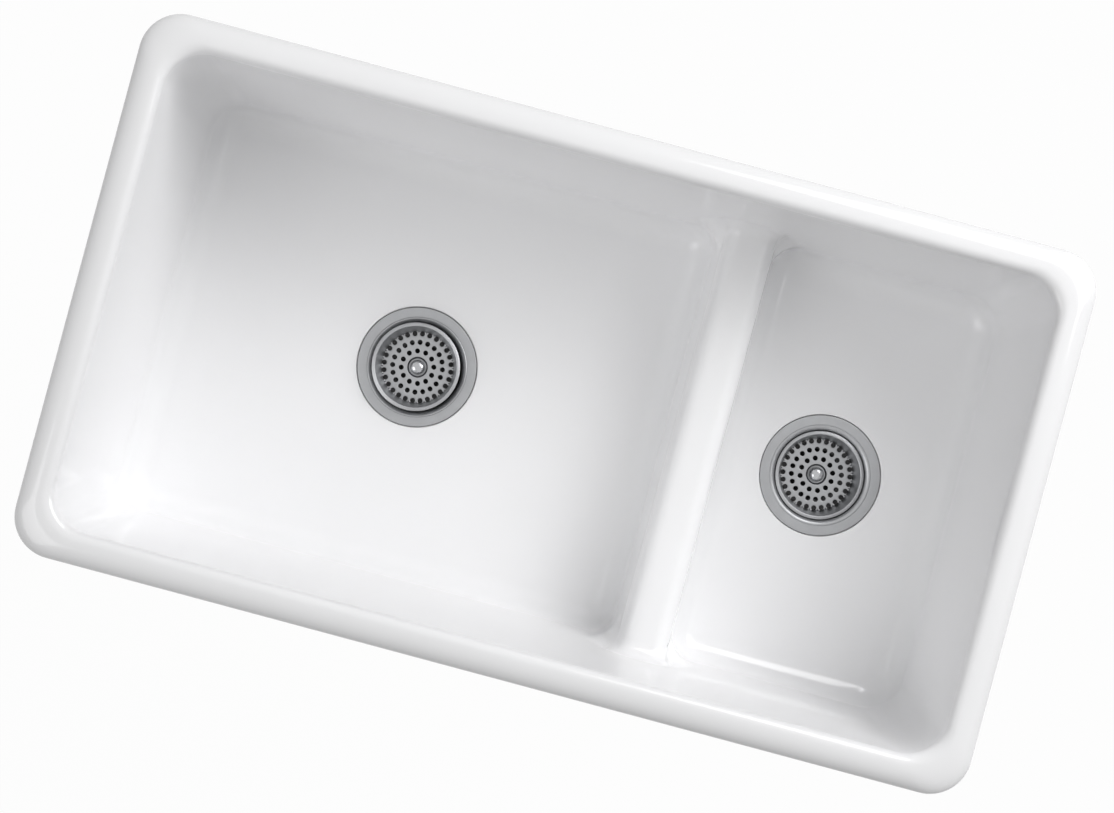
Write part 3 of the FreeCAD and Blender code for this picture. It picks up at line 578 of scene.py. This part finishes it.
def rounded(section):
    """A section's corners, each as radius, height and round, with an arc wherever the round isn't zero."""
    spots = np.array([corner[:2] for corner in section], dtype=float)
    points = []
    for i, (_, _, bend) in enumerate(section):
        spot = spots[i]
        if bend == 0 or i in (0, len(section) - 1):
            points.append(spot)
            continue
        back, on = spots[i - 1] - spot, spots[i + 1] - spot
        back, on = back / np.hypot(*back), on / np.hypot(*on)
        half = np.arccos(np.clip(back @ on, -1, 1)) / 2
        middle = (back + on) / np.hypot(*(back + on))
        centre = spot + middle * bend / np.sin(half)
        ends = [spot + way * bend / np.tan(half) - centre for way in (back, on)]
        sweep = np.linspace(0, 1, 7)[:, None]
        turn = np.pi - 2 * half
        arc = (np.sin((1 - sweep) * turn) * ends[0] + np.sin(sweep * turn) * ends[1]) / np.sin(turn)
        points.extend(centre + arc)
    return np.array(points)


def spin(section, bowl, level, count=CUP_COLUMNS, start=0.0):
    """Rows of points: a section, as radii and heights over a level, turned round a drain's axis."""
    angle = start + 2 * np.pi * np.arange(count) / count
    r, z = np.array(section).T
    return np.stack([bowl.drain_x + r[:, None] * np.cos(angle), r[:, None] * np.sin(angle),
                     np.broadcast_to(level + z[:, None], (len(r), count))], axis=-1)


def thread(radius, low, high, pitch, bowl, level):
    """Rows of a screw thread, upwards, eight to a pitch, faded out over a pitch at both ends.

    The radius is lessened by a triangle wave of the height over the pitch less the share of the turn.
    """
    angle = np.arange(CUP_COLUMNS) / CUP_COLUMNS
    z = np.linspace(low, high, int((high - low) / pitch * 8) + 1)[:, None]
    wave = np.abs(2 * ((z / pitch - angle) % 1) - 1)
    fade = smooth((z - low) / pitch) * smooth((high - z) / pitch)
    r = radius - THREAD_DEPTH * pitch * wave * fade
    return np.stack([bowl.drain_x + r * np.cos(2 * np.pi * angle), r * np.sin(2 * np.pi * angle),
                     np.broadcast_to(level + z, r.shape)], axis=-1)


def make_strainer_body(bowl, satin, shaded_satin):
    """The flanged cup with threads outside, the hub in its outlet and the four crossbars that hold it."""
    skin = Skin()
    level = bowl.flange
    flange_inner, wall_foot, floor_end, outlet_face = 50.0, 40.2, 21.0, 23.0
    wall_end, floor_low, outlet_top = -44.0, -46.0, -48.0
    heel_foot, heel_side = 41.5, 43.6
    heel_start, heel_low, heel_top, heel_end = -49.4, -46.6, -39.5, -38.6
    outlet_thread_top, cup_thread_foot = -50.0, -38.0
    face = rounded([(flange_inner, FLANGE_UNDER, 0), (FLANGE, FLANGE_UNDER, 0.3), (FLANGE, 0, 0.9),
                    (GROOVE, 0, 0), (GROOVE - 0.3, -0.3, 0), (GROOVE - 0.7, -0.05, 0),
                    (GROOVE - 1.0, 0, 0), (THROAT, 0, 4.3), (THROAT, THROAT_END, 0)])
    inside = rounded([(THROAT, THROAT_END, 0), (wall_foot, wall_end, 4), (floor_end, floor_low, 0.6),
                      (OUTLET, outlet_top, 0.6), (OUTLET, OUTLET_END + 0.4, 0),
                      (OUTLET + 0.4, OUTLET_END, 0), (outlet_face, OUTLET_END, 0)])
    heel = rounded([(OUTLET_OUTSIDE, heel_start, 0), (OUTLET_OUTSIDE, outlet_top - 0.5, 0.8),
                    (heel_foot, heel_low, 1.5), (heel_side, heel_top, 0.8), (CUP, heel_end, 0)])
    skin.cover(spin(face, bowl, level))
    # The cup's inside, the hub and the crossbars take the darker steel: painted shade down in the drain.
    skin.cover(spin(inside, bowl, level), finish=1)
    skin.cover(np.concatenate([
        spin(inside[-1:], bowl, level),
        thread(OUTLET_OUTSIDE, OUTLET_END + 1, outlet_thread_top, OUTLET_PITCH, bowl, level),
        spin(heel, bowl, level),
        thread(CUP, cup_thread_foot, FLANGE_UNDER - 1, CUP_PITCH, bowl, level),
        spin([(CUP, FLANGE_UNDER), face[0]], bowl, level),
    ]))
    hub_top, hub_foot = HUB_LEVEL + HUB_HALF, HUB_LEVEL - HUB_HALF
    hub = rounded([(HUB, HUB_LEVEL, 0), (HUB, hub_top, 0.6), (HUB_BORE, hub_top, 0.6),
                   (HUB_BORE, hub_foot, 0.6), (HUB, hub_foot, 0.6), (HUB, HUB_LEVEL, 0)])
    skin.cover(spin(hub, bowl, level, HUB_COLUMNS), finish=1)
    w, h, b = BAR_HALF_WIDTH, BAR_HALF_HEIGHT, BAR_BEVEL
    bar = np.array([(-w, b - h), (b - w, -h), (w - b, -h), (w, b - h), (w, h - b), (w - b, h), (b - w, h),
                    (-w, h - b)])
    for angle in np.radians([0, 90, 180, 270]):
        along = np.array([np.cos(angle), np.sin(angle), 0.0])
        across = np.array([-np.sin(angle), np.cos(angle), 0.0])
        ring = (bowl.drain_x, 0.0, level + HUB_LEVEL) + bar[:, :1] * across + bar[:, 1:] * (0.0, 0.0, 1.0)
        near, far = ring + along * (HUB - 1.0), ring + along * (OUTLET + 0.5)
        near_cap, far_cap = [np.broadcast_to(end.mean(axis=0), end.shape) for end in (near, far)]
        skin.cover(np.stack([far_cap, far, near, near_cap]), finish=1)
    skin.piece(bowl.side + "_flanged_cup", "root", [satin, shaded_satin],
               [bowl.side + "_strainer_body"])


def plate_heights(r):
    """Top and underside of the basket's plate at a radius, with the round foot of its wall."""
    top = soft_rise(WALL_SLOPE * (r - PLATE + SHEET), INNER_FOOT_ROUND)
    under = soft_rise(WALL_SLOPE * (r - PLATE), OUTER_FOOT_ROUND) - SHEET
    return top, under


def pierced_cell(radius, holes, inner, outer):
    """One hole's share of the plate, as radius, angle and height, in rows from its edge down the hole.

    The edge runs anticlockwise along the outer arc, a side, the inner arc and the other side. The hole's
    points lie on the lines from its middle to the edge's points, and the rows end at the edge underneath.
    """
    side_steps = 4
    half_bevel = 0.06
    steps = PLATE_COLUMNS // holes
    half = np.pi / holes
    sweep = np.linspace(-half, half, steps + 1)
    side = np.linspace(outer, inner, side_steps + 1)
    r = np.concatenate([np.full(steps, outer), side[:-1], np.full(steps, inner), side[:0:-1]])
    ends = np.full(side_steps, half)
    angle = np.concatenate([sweep[:-1], ends, sweep[:0:-1], -ends])
    edge = np.stack([r * np.cos(angle) - radius, r * np.sin(angle)], axis=-1)
    way = edge / np.linalg.norm(edge, axis=1, keepdims=True)
    rims = [way * (PLATE_HOLE + bevel) for bevel in (HOLE_BEVEL, half_bevel, 0.0)]
    plans = np.stack([edge, edge + (rims[0] - edge) * 0.5, *rims])
    drops = np.array([0.0, 0.0, 0.0, half_bevel, HOLE_BEVEL])[:, None]
    reach = np.hypot(plans[..., 0] + radius, plans[..., 1])
    heading = np.arctan2(plans[..., 1], plans[..., 0] + radius)
    top, under = plate_heights(reach)
    return np.concatenate([np.stack([reach, heading, top - drops], axis=-1),
                           np.stack([reach, heading, under + drops], axis=-1)[::-1]])


def make_basket(bowl, satin):
    """The pierced basket: a dimpled plate with three rings of holes, a flared wall and a rolled lip.

    The columns of plate and wall lie half a column off the holes' middles, as the cells' corners do.
    """
    skin = Skin()
    start = bowl.holes_heading + np.pi / PLATE_COLUMNS
    dimple_under = -DIMPLE_DEPTH - SHEET
    middle = rounded([(BAND_EDGES[0], 0, 0), (DIMPLE_EDGE, 0, 0.9), (DIMPLE, -DIMPLE_DEPTH, 0.7),
                      (POST_HOLE, -DIMPLE_DEPTH, 0.15), (POST_HOLE, dimple_under, 0.15),
                      (DIMPLE + SHEET, dimple_under, 0.9), (DIMPLE_EDGE + SHEET, -SHEET, 0.7),
                      (BAND_EDGES[0], -SHEET, 0)])
    rise = np.linspace(BAND_EDGES[-1], PLATE + SHEET, 9)
    outside = np.stack([rise, plate_heights(rise)[1]], axis=-1)
    wall_top = PLATE - SHEET + FLARE
    lip = rounded([(PLATE + SHEET, WALL_SLOPE - SHEET, 0), (wall_top + SHEET, BASKET_HEIGHT - SHEET, 0.7),
                   (LIP_EDGE, BASKET_HEIGHT - 2 * SHEET, 0.45), (LIP_EDGE, BASKET_HEIGHT - SHEET, 0.5),
                   (wall_top, BASKET_HEIGHT, 1.3), (PLATE, WALL_SLOPE, 0)])
    rise = np.linspace(PLATE - 0.2, BAND_EDGES[-1], 4)
    inside = np.stack([rise, plate_heights(rise)[0]], axis=-1)
    skin.cover(spin(middle, bowl, bowl.plate, PLATE_COLUMNS, start))
    skin.cover(spin(np.concatenate([outside[:-1], lip, inside]), bowl, bowl.plate, PLATE_COLUMNS, start))
    for (radius, holes), inner, outer in zip(HOLE_RINGS, BAND_EDGES, BAND_EDGES[1:]):
        r, angle, height = np.moveaxis(pierced_cell(radius, holes, inner, outer), -1, 0)
        for turn in bowl.holes_heading + 2 * np.pi * np.arange(holes) / holes:
            skin.cover(np.stack([bowl.drain_x + r * np.cos(angle + turn), r * np.sin(angle + turn),
                                 bowl.plate + height], axis=-1))
    skin.piece(bowl.side + "_pierced_basket", bowl.side + "_strainer_basket", [satin],
               [bowl.side + "_basket"])


def make_turned(bowl, section, level, name, body, material, node):
    """A piece that is one section turned round the drain's axis."""
    skin = Skin()
    skin.cover(spin(section, bowl, level, POST_COLUMNS))
    skin.piece(bowl.side + "_" + name, body, [material], [bowl.side + "_" + node])


def make_post(bowl, polished):
    """The post: a riveted foot, the stem with its collar, the neck and a knob under a quarter ellipse."""
    foot, stem, stem_collar, neck, knob = 3.6, 3.0, 5.4, 4.2, 6.9
    foot_end, foot_top, collar_top, neck_end, neck_top = -26.9, -25.3, -3.6, -2.4, 1.2
    dome_foot, dome_height = 2.4, 3.8
    post = rounded([(0, foot_end, 0), (foot, foot_end, 0.5), (foot, foot_top, 0.4), (stem, foot_top, 0),
                    (stem, STOPPER_TOP, 0), (stem_collar, STOPPER_TOP, 0.4),
                    (stem_collar, collar_top, 0.3), (stem, collar_top, 0), (stem, neck_end, 0),
                    (neck, neck_end, 0.2), (neck, neck_top, 0.2), (knob - 0.3, neck_top, 0.5),
                    (knob, neck_top + 1.0, 0)])
    dome = [(knob * np.cos(a), dome_foot + dome_height * np.sin(a)) for a in np.linspace(0, np.pi / 2, 15)]
    make_turned(bowl, np.concatenate([post, dome]), bowl.plate, "domed_post", bowl.side + "_post",
                polished, "knob_post")


def make_stopper(bowl, rubber):
    """The rubber stopper: a plug with a wider brim over it and a cone on top."""
    plug, brim, shoulder = 18.4, 24.0, 10.0
    end, brim_end, brim_top = -20.5, -18.4, -15.5
    section = rounded([(shoulder, end, 0), (plug, end, 0.6), (plug, brim_end, 0.5), (brim, brim_end, 1.0),
                       (brim, brim_top, 1.2), (shoulder, STOPPER_TOP, 1.5), (POST_HOLE, STOPPER_TOP, 0.2),
                       (POST_HOLE, end, 0.2), (shoulder, end, 0)])
    make_turned(bowl, section, bowl.plate, "rubber_cone", bowl.side + "_post",
                rubber, "stopper")


def make_tailpiece(bowl, chrome):
    """The tailpiece: a thin tube with a thicker root and a collar, its levels from the flange's top."""
    outside, bore, root, tube_collar, middle = 19.05, 17.85, 19.3, 22.85, 18.4
    end, root_end, collar_end, top = -175.6, -79.0, -75.6, -74.0
    section = rounded([(middle, end, 0), (outside, end, 0.3), (outside, root_end - 0.2, 0.1),
                       (root, root_end, 0.1), (root, collar_end, 0.3), (tube_collar, collar_end, 0.4),
                       (tube_collar, top, 0.4), (bore, top, 0.6), (bore, end, 0.3), (middle, end, 0)])
    make_turned(bowl, section, bowl.flange, "flanged_tube", "root", chrome, "tailpiece")


# Node materials

def linear(code):
    """A hex sRGB colour as linear red, green, blue and one."""
    srgb = np.array([int(code[i:i + 2], 16) for i in (0, 2, 4)]) / 255
    return (*np.where(srgb <= 0.04045, srgb / 12.92, ((srgb + 0.055) / 1.055) ** 2.4), 1.0)


def per_metre(size_mm):
    """Noise scale that gives features of about this size."""
    return 1.0 / (size_mm * MM)


def add(tree, kind, inputs=None, **settings):
    """Add one node with its settings, each named input set to a value or linked from a socket or a node.

    A node stands for the first of its outputs that is in use.
    """
    node = tree.nodes.new("ShaderNode" + kind)
    for name, value in settings.items():
        setattr(node, name, value)
    for name, value in (inputs or {}).items():
        if isinstance(value, bpy.types.Node):
            value = next(socket for socket in value.outputs if socket.enabled)
        if isinstance(value, bpy.types.NodeSocket):
            tree.links.new(value, node.inputs[name])
        else:
            node.inputs[name].default_value = value
    return node


def new_material(name):
    """A material with an empty node tree."""
    material = bpy.data.materials.new(name)
    material.use_nodes = True
    material.node_tree.nodes.clear()
    return material, material.node_tree


# Where most of a noise pattern's values lie, for a Map Range node that stretches them
NOISE_RANGE = {"From Min": 0.3, "From Max": 0.7}


def vitreous_enamel():
    """Glass enamel fired on cast iron: an even white with a wet gloss and a faint ripple from the melt.

    The real ripple is about 10 mm from wave to wave, and is drawn at 45 mm so that it shows.
    """
    material, tree = new_material("vitreous_enamel_fired")
    place = add(tree, "TexCoord").outputs["Object"]
    cloud = add(tree, "TexNoise", {"Vector": place, "Scale": per_metre(120), "Detail": 2.0,
                                   "Roughness": 0.3})
    ripple = add(tree, "TexNoise", {"Vector": place, "Scale": per_metre(45), "Detail": 1.0})
    swell = add(tree, "Bump", {"Strength": 0.2, "Distance": 0.4 * MM, "Height": cloud})
    peel = add(tree, "Bump", {"Strength": 0.2, "Distance": 0.1 * MM, "Height": ripple, "Normal": swell})
    white = add(tree, "Mix", {"Factor": cloud, "A": linear("F6F6F7"), "B": linear("F9F9FA")},
                data_type="RGBA")
    gloss = add(tree, "MapRange", {"Value": cloud, "To Min": 0.08, "To Max": 0.12})
    shader = add(tree, "BsdfPrincipled", {"Base Color": white, "Roughness": gloss, "IOR": 1.52,
                                          "Normal": peel})
    add(tree, "OutputMaterial", {"Surface": shader})
    return material


def sprayed_ground_coat():
    """Ground coat sprayed on sand-cast iron: off-white, dull, with the sand's grain and greyer patches.

    The real grain is about 0.3 mm, and is drawn at 2.2 mm so that it shows.
    """
    material, tree = new_material("ground_coat_on_sand_cast_iron")
    place = add(tree, "TexCoord").outputs["Object"]
    patch = add(tree, "TexNoise", {"Vector": place, "Scale": per_metre(45), "Detail": 5.0,
                                   "Roughness": 0.65})
    sand = add(tree, "TexNoise", {"Vector": place, "Scale": per_metre(2.2), "Detail": 4.0})
    lumps = add(tree, "Bump", {"Strength": 0.5, "Distance": 0.8 * MM, "Height": patch})
    grain = add(tree, "Bump", {"Strength": 0.6, "Distance": 0.3 * MM, "Height": sand, "Normal": lumps})
    thin = add(tree, "MapRange", {"Value": patch, **NOISE_RANGE})
    white = add(tree, "Mix", {"Factor": thin, "A": linear("DADAD8"), "B": linear("C8C8C5")},
                data_type="RGBA")
    gloss = add(tree, "MapRange", {"Value": sand, **NOISE_RANGE, "To Min": 0.6, "To Max": 0.8})
    shader = add(tree, "BsdfPrincipled", {"Base Color": white, "Roughness": gloss, "Normal": grain})
    add(tree, "OutputMaterial", {"Surface": shader})
    return material


def turned_stainless(name, x, colours, rough):
    """Stainless steel spun on a lathe: a grey metal with fine rings round its axis that spread the light.

    The roughness tells satin, shaded and polished steel apart; the shaded copy's darker colours are painted
    shade. The real rings are about 0.1 mm wide, and are drawn at 0.5 mm so that they show.
    """
    material, tree = new_material(name)
    place = add(tree, "TexCoord").outputs["Object"]
    centred = add(tree, "Mapping", {"Vector": place, "Location": (-x * MM, 0.0, 0.0)})
    flat = add(tree, "VectorMath", {0: centred, 1: (1.0, 1.0, 0.0)}, operation="MULTIPLY")
    radius = add(tree, "VectorMath", {0: flat}, operation="LENGTH")
    height = add(tree, "SeparateXYZ", {0: centred}).outputs["Z"]
    along = add(tree, "Math", {0: radius, 1: height}, operation="SUBTRACT")
    rings = add(tree, "TexNoise", {"W": along, "Scale": per_metre(0.5), "Detail": 3.0},
                noise_dimensions="1D")
    smudge = add(tree, "TexNoise", {"Vector": place, "Scale": per_metre(11), "Detail": 3.0})
    marks = add(tree, "Bump", {"Strength": 0.6, "Distance": 0.06 * MM, "Height": rings})
    gloss = add(tree, "MapRange", {"Value": rings, **NOISE_RANGE, "To Min": rough - 0.05,
                                   "To Max": rough + 0.06})
    wiped = add(tree, "MapRange", {"Value": smudge, **NOISE_RANGE, "To Min": -0.03, "To Max": 0.04})
    worn = add(tree, "Math", {0: gloss, 1: wiped}, operation="ADD")
    dark, pale = [linear(code) for code in colours]
    metal = add(tree, "Mix", {"Factor": smudge, "A": dark, "B": pale}, data_type="RGBA")
    shader = add(tree, "BsdfPrincipled", {"Base Color": metal, "Metallic": 1.0, "Roughness": worn,
                                          "Normal": marks})
    add(tree, "OutputMaterial", {"Surface": shader})
    return material


def speckled(name, colours, rough, grain_mm, lump_mm, relief_mm, metal=0.0):
    """A body with two colours in patches, a grain in its gloss and a relief of one height.

    The grains are drawn a few times as coarse as the real ones, so that they show.
    """
    material, tree = new_material(name)
    place = add(tree, "TexCoord").outputs["Object"]
    lump = add(tree, "TexNoise", {"Vector": place, "Scale": per_metre(lump_mm), "Detail": 4.0})
    grain = add(tree, "TexNoise", {"Vector": place, "Scale": per_metre(grain_mm), "Detail": 3.0})
    relief = add(tree, "Bump", {"Strength": 0.6, "Distance": relief_mm * MM, "Height": grain})
    patches = add(tree, "MapRange", {"Value": lump, **NOISE_RANGE})
    first, second = [linear(code) for code in colours]
    colour = add(tree, "Mix", {"Factor": patches, "A": first, "B": second}, data_type="RGBA")
    gloss = add(tree, "MapRange", {"Value": grain, **NOISE_RANGE, "To Min": rough[0], "To Max": rough[1]})
    shader = add(tree, "BsdfPrincipled", {"Base Color": colour, "Metallic": metal, "Roughness": gloss,
                                          "Normal": relief})
    add(tree, "OutputMaterial", {"Surface": shader})
    return material


def dress(node, material):
    """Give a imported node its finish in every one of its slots."""
    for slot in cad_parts[node].material_slots:
        slot.material = material


enamel = vitreous_enamel()
ground_coat = sprayed_ground_coat()
# Moulded rubber: near black and dull, with a fine grain left by the mould
rubber = speckled("moulded_black_rubber", ("141414", "1E1D1C"), (0.55, 0.7), 0.6, 9, 0.04)
# Setting putty: a chalky beige paste with soft lumps
putty = speckled("plumbers_putty", ("A79A82", "B8AC94"), (0.8, 0.95), 1.5, 6, 0.3)
# Pressed fibre: brown paper pulp with pale and dark specks
fibre = speckled("pressed_fibre", ("6E4A34", "4E3122"), (0.75, 0.9), 0.8, 2.5, 0.08)
# Sand-cast brass left plain: warm, half dull, darker where it has tarnished
brass = speckled("cast_brass", ("C3A263", "A5824A"), (0.32, 0.5), 1.0, 14, 0.05, metal=1.0)
# Chromium plate on thin tube: bright and cool, with a gloss that changes a little from place to place
chrome = speckled("chrome_plated_tube", ("B9BBBE", "ADAFB3"), (0.07, 0.14), 3.0, 30, 0.002, metal=1.0)
# Moulded polyethylene: milky white and waxy
plastic = speckled("moulded_polyethylene", ("EAEAE5", "E2E2DC"), (0.35, 0.45), 0.7, 8, 0.02)
# Cold-rolled spring strip: grey and smooth, half glossy, with a fine grain in its gloss
spring = speckled("cold_rolled_spring_strip", ("A6A6A3", "96958F"), (0.28, 0.4), 0.5, 6, 0.01, metal=1.0)

make_casting(enamel, ground_coat)
for bowl in BOWLS:
    side, x = bowl.side, bowl.drain_x
    satin = turned_stainless("turned_stainless_" + side, x, ("9FA0A2", "ABACAE"), 0.36)
    # A darker, rougher copy of the steel for the cup's inside: its darker colours are painted shade.
    shaded_satin = turned_stainless("shaded_stainless_" + side, x, ("5F5F60", "6E6E6E"), 0.5)
    polished = turned_stainless("polished_stainless_" + side, x, ("AEAFB1", "BABBBD"), 0.13)
    for node, material in (("strainer_body", satin), ("basket", satin), ("knob_post", polished),
                           ("stopper_nut", polished), ("snap_spring", spring), ("putty_ring", putty),
                           ("rubber_gasket", rubber), ("stopper", rubber), ("friction_washer", fibre),
                           ("locknut", brass), ("coupling_nut", brass), ("tailpiece_washer", plastic),
                           ("tailpiece", chrome)):
        dress(side + "_" + node, material)
    make_strainer_body(bowl, satin, shaded_satin)
    make_basket(bowl, satin)
    make_post(bowl, polished)
    make_stopper(bowl, rubber)
    make_tailpiece(bowl, chrome)
dress("sink", enamel)


# Studio, in metres: a pale floor far below, a broad lamp at the back right, a weaker one at the front left

WHITE = linear("FFFFFF")
FLOOR_LEVEL = -0.9
FLOOR_HALF = 20.0
LAMP_DISTANCE = 3.0
CAMERA_PLACE = (0.0020, -0.0017, 1.740)
CAMERA_ROLL = 15.04
CAMERA_LENS = 66.2
CAMERA_SENSOR = 36.0


def show_white(tree, shader, white, share):
    """Let camera, mirror and glass rays see mostly plain white, and every other ray the real surface."""
    path = add(tree, "LightPath").outputs
    seen = path["Is Camera Ray"]
    for ray in ("Is Glossy Ray", "Is Transmission Ray"):
        seen = add(tree, "Math", {0: seen, 1: path[ray]}, operation="MAXIMUM")
    seen = add(tree, "Math", {0: seen, 1: share}, operation="MULTIPLY")
    return add(tree, "MixShader", {0: seen, 1: shader, 2: white})


def make_floor():
    """A plain pale floor."""
    half, level = FLOOR_HALF, FLOOR_LEVEL
    mesh = bpy.data.meshes.new("studio_floor")
    spots = [(-half, -half, level), (half, -half, level), (half, half, level), (-half, half, level)]
    mesh.from_pydata(spots, [], [(0, 1, 2, 3)])
    floor = bpy.data.objects.new("studio_floor", mesh)
    bpy.context.scene.collection.objects.link(floor)
    material, tree = new_material("pale_studio_floor")
    paint = add(tree, "BsdfDiffuse", {"Color": linear("C4C4C4")})
    white = add(tree, "Emission", {"Color": WHITE, "Strength": 1.0})
    add(tree, "OutputMaterial", {"Surface": show_white(tree, paint, white, 0.97)})
    mesh.materials.append(material)


def make_world(low, high):
    """Plain white air that sheds little light from the horizon and more from overhead."""
    world = bpy.data.worlds.new("studio_air")
    world.use_nodes = True
    tree = world.node_tree
    tree.nodes.clear()
    way = add(tree, "TexCoord").outputs["Generated"]
    height = add(tree, "SeparateXYZ", {"Vector": way}).outputs["Z"]
    strength = add(tree, "MapRange", {"Value": height, "To Min": low, "To Max": high})
    dim = add(tree, "Background", {"Color": WHITE, "Strength": strength})
    white = add(tree, "Background", {"Color": WHITE, "Strength": 1.0})
    add(tree, "OutputWorld", {"Surface": show_white(tree, dim, white, 1.0)})
    bpy.context.scene.world = world


def make_lamp(name, direction, width, height, watts):
    """A soft oblong lamp along a direction, turned to face the sink."""
    lamp = bpy.data.lights.new(name, "AREA")
    lamp.shape = "RECTANGLE"
    lamp.size = width
    lamp.size_y = height
    lamp.energy = watts
    thing = bpy.data.objects.new(name, lamp)
    way = Vector(direction).normalized()
    thing.location = way * LAMP_DISTANCE
    thing.rotation_euler = way.to_track_quat("Z", "Y").to_euler()
    bpy.context.scene.collection.objects.link(thing)


def make_camera():
    """Straight above the sink, rolled as the photograph is, at the photograph's distance."""
    camera = bpy.data.cameras.new("camera")
    camera.lens = CAMERA_LENS
    camera.sensor_width = CAMERA_SENSOR
    thing = bpy.data.objects.new("camera", camera)
    thing.location = CAMERA_PLACE
    thing.rotation_euler = (0.0, 0.0, np.radians(CAMERA_ROLL))
    bpy.context.scene.collection.objects.link(thing)
    bpy.context.scene.camera = thing


make_floor()
make_world(low=0.10, high=0.42)
make_lamp("window_lamp", direction=(0.85, 0.95, 1.0), width=3.0, height=1.6, watts=75.0)
make_lamp("fill_lamp", direction=(-0.9, -0.6, 1.0), width=1.6, height=1.6, watts=16.0)
make_camera()
bpy.context.scene.view_settings.view_transform = "Standard"
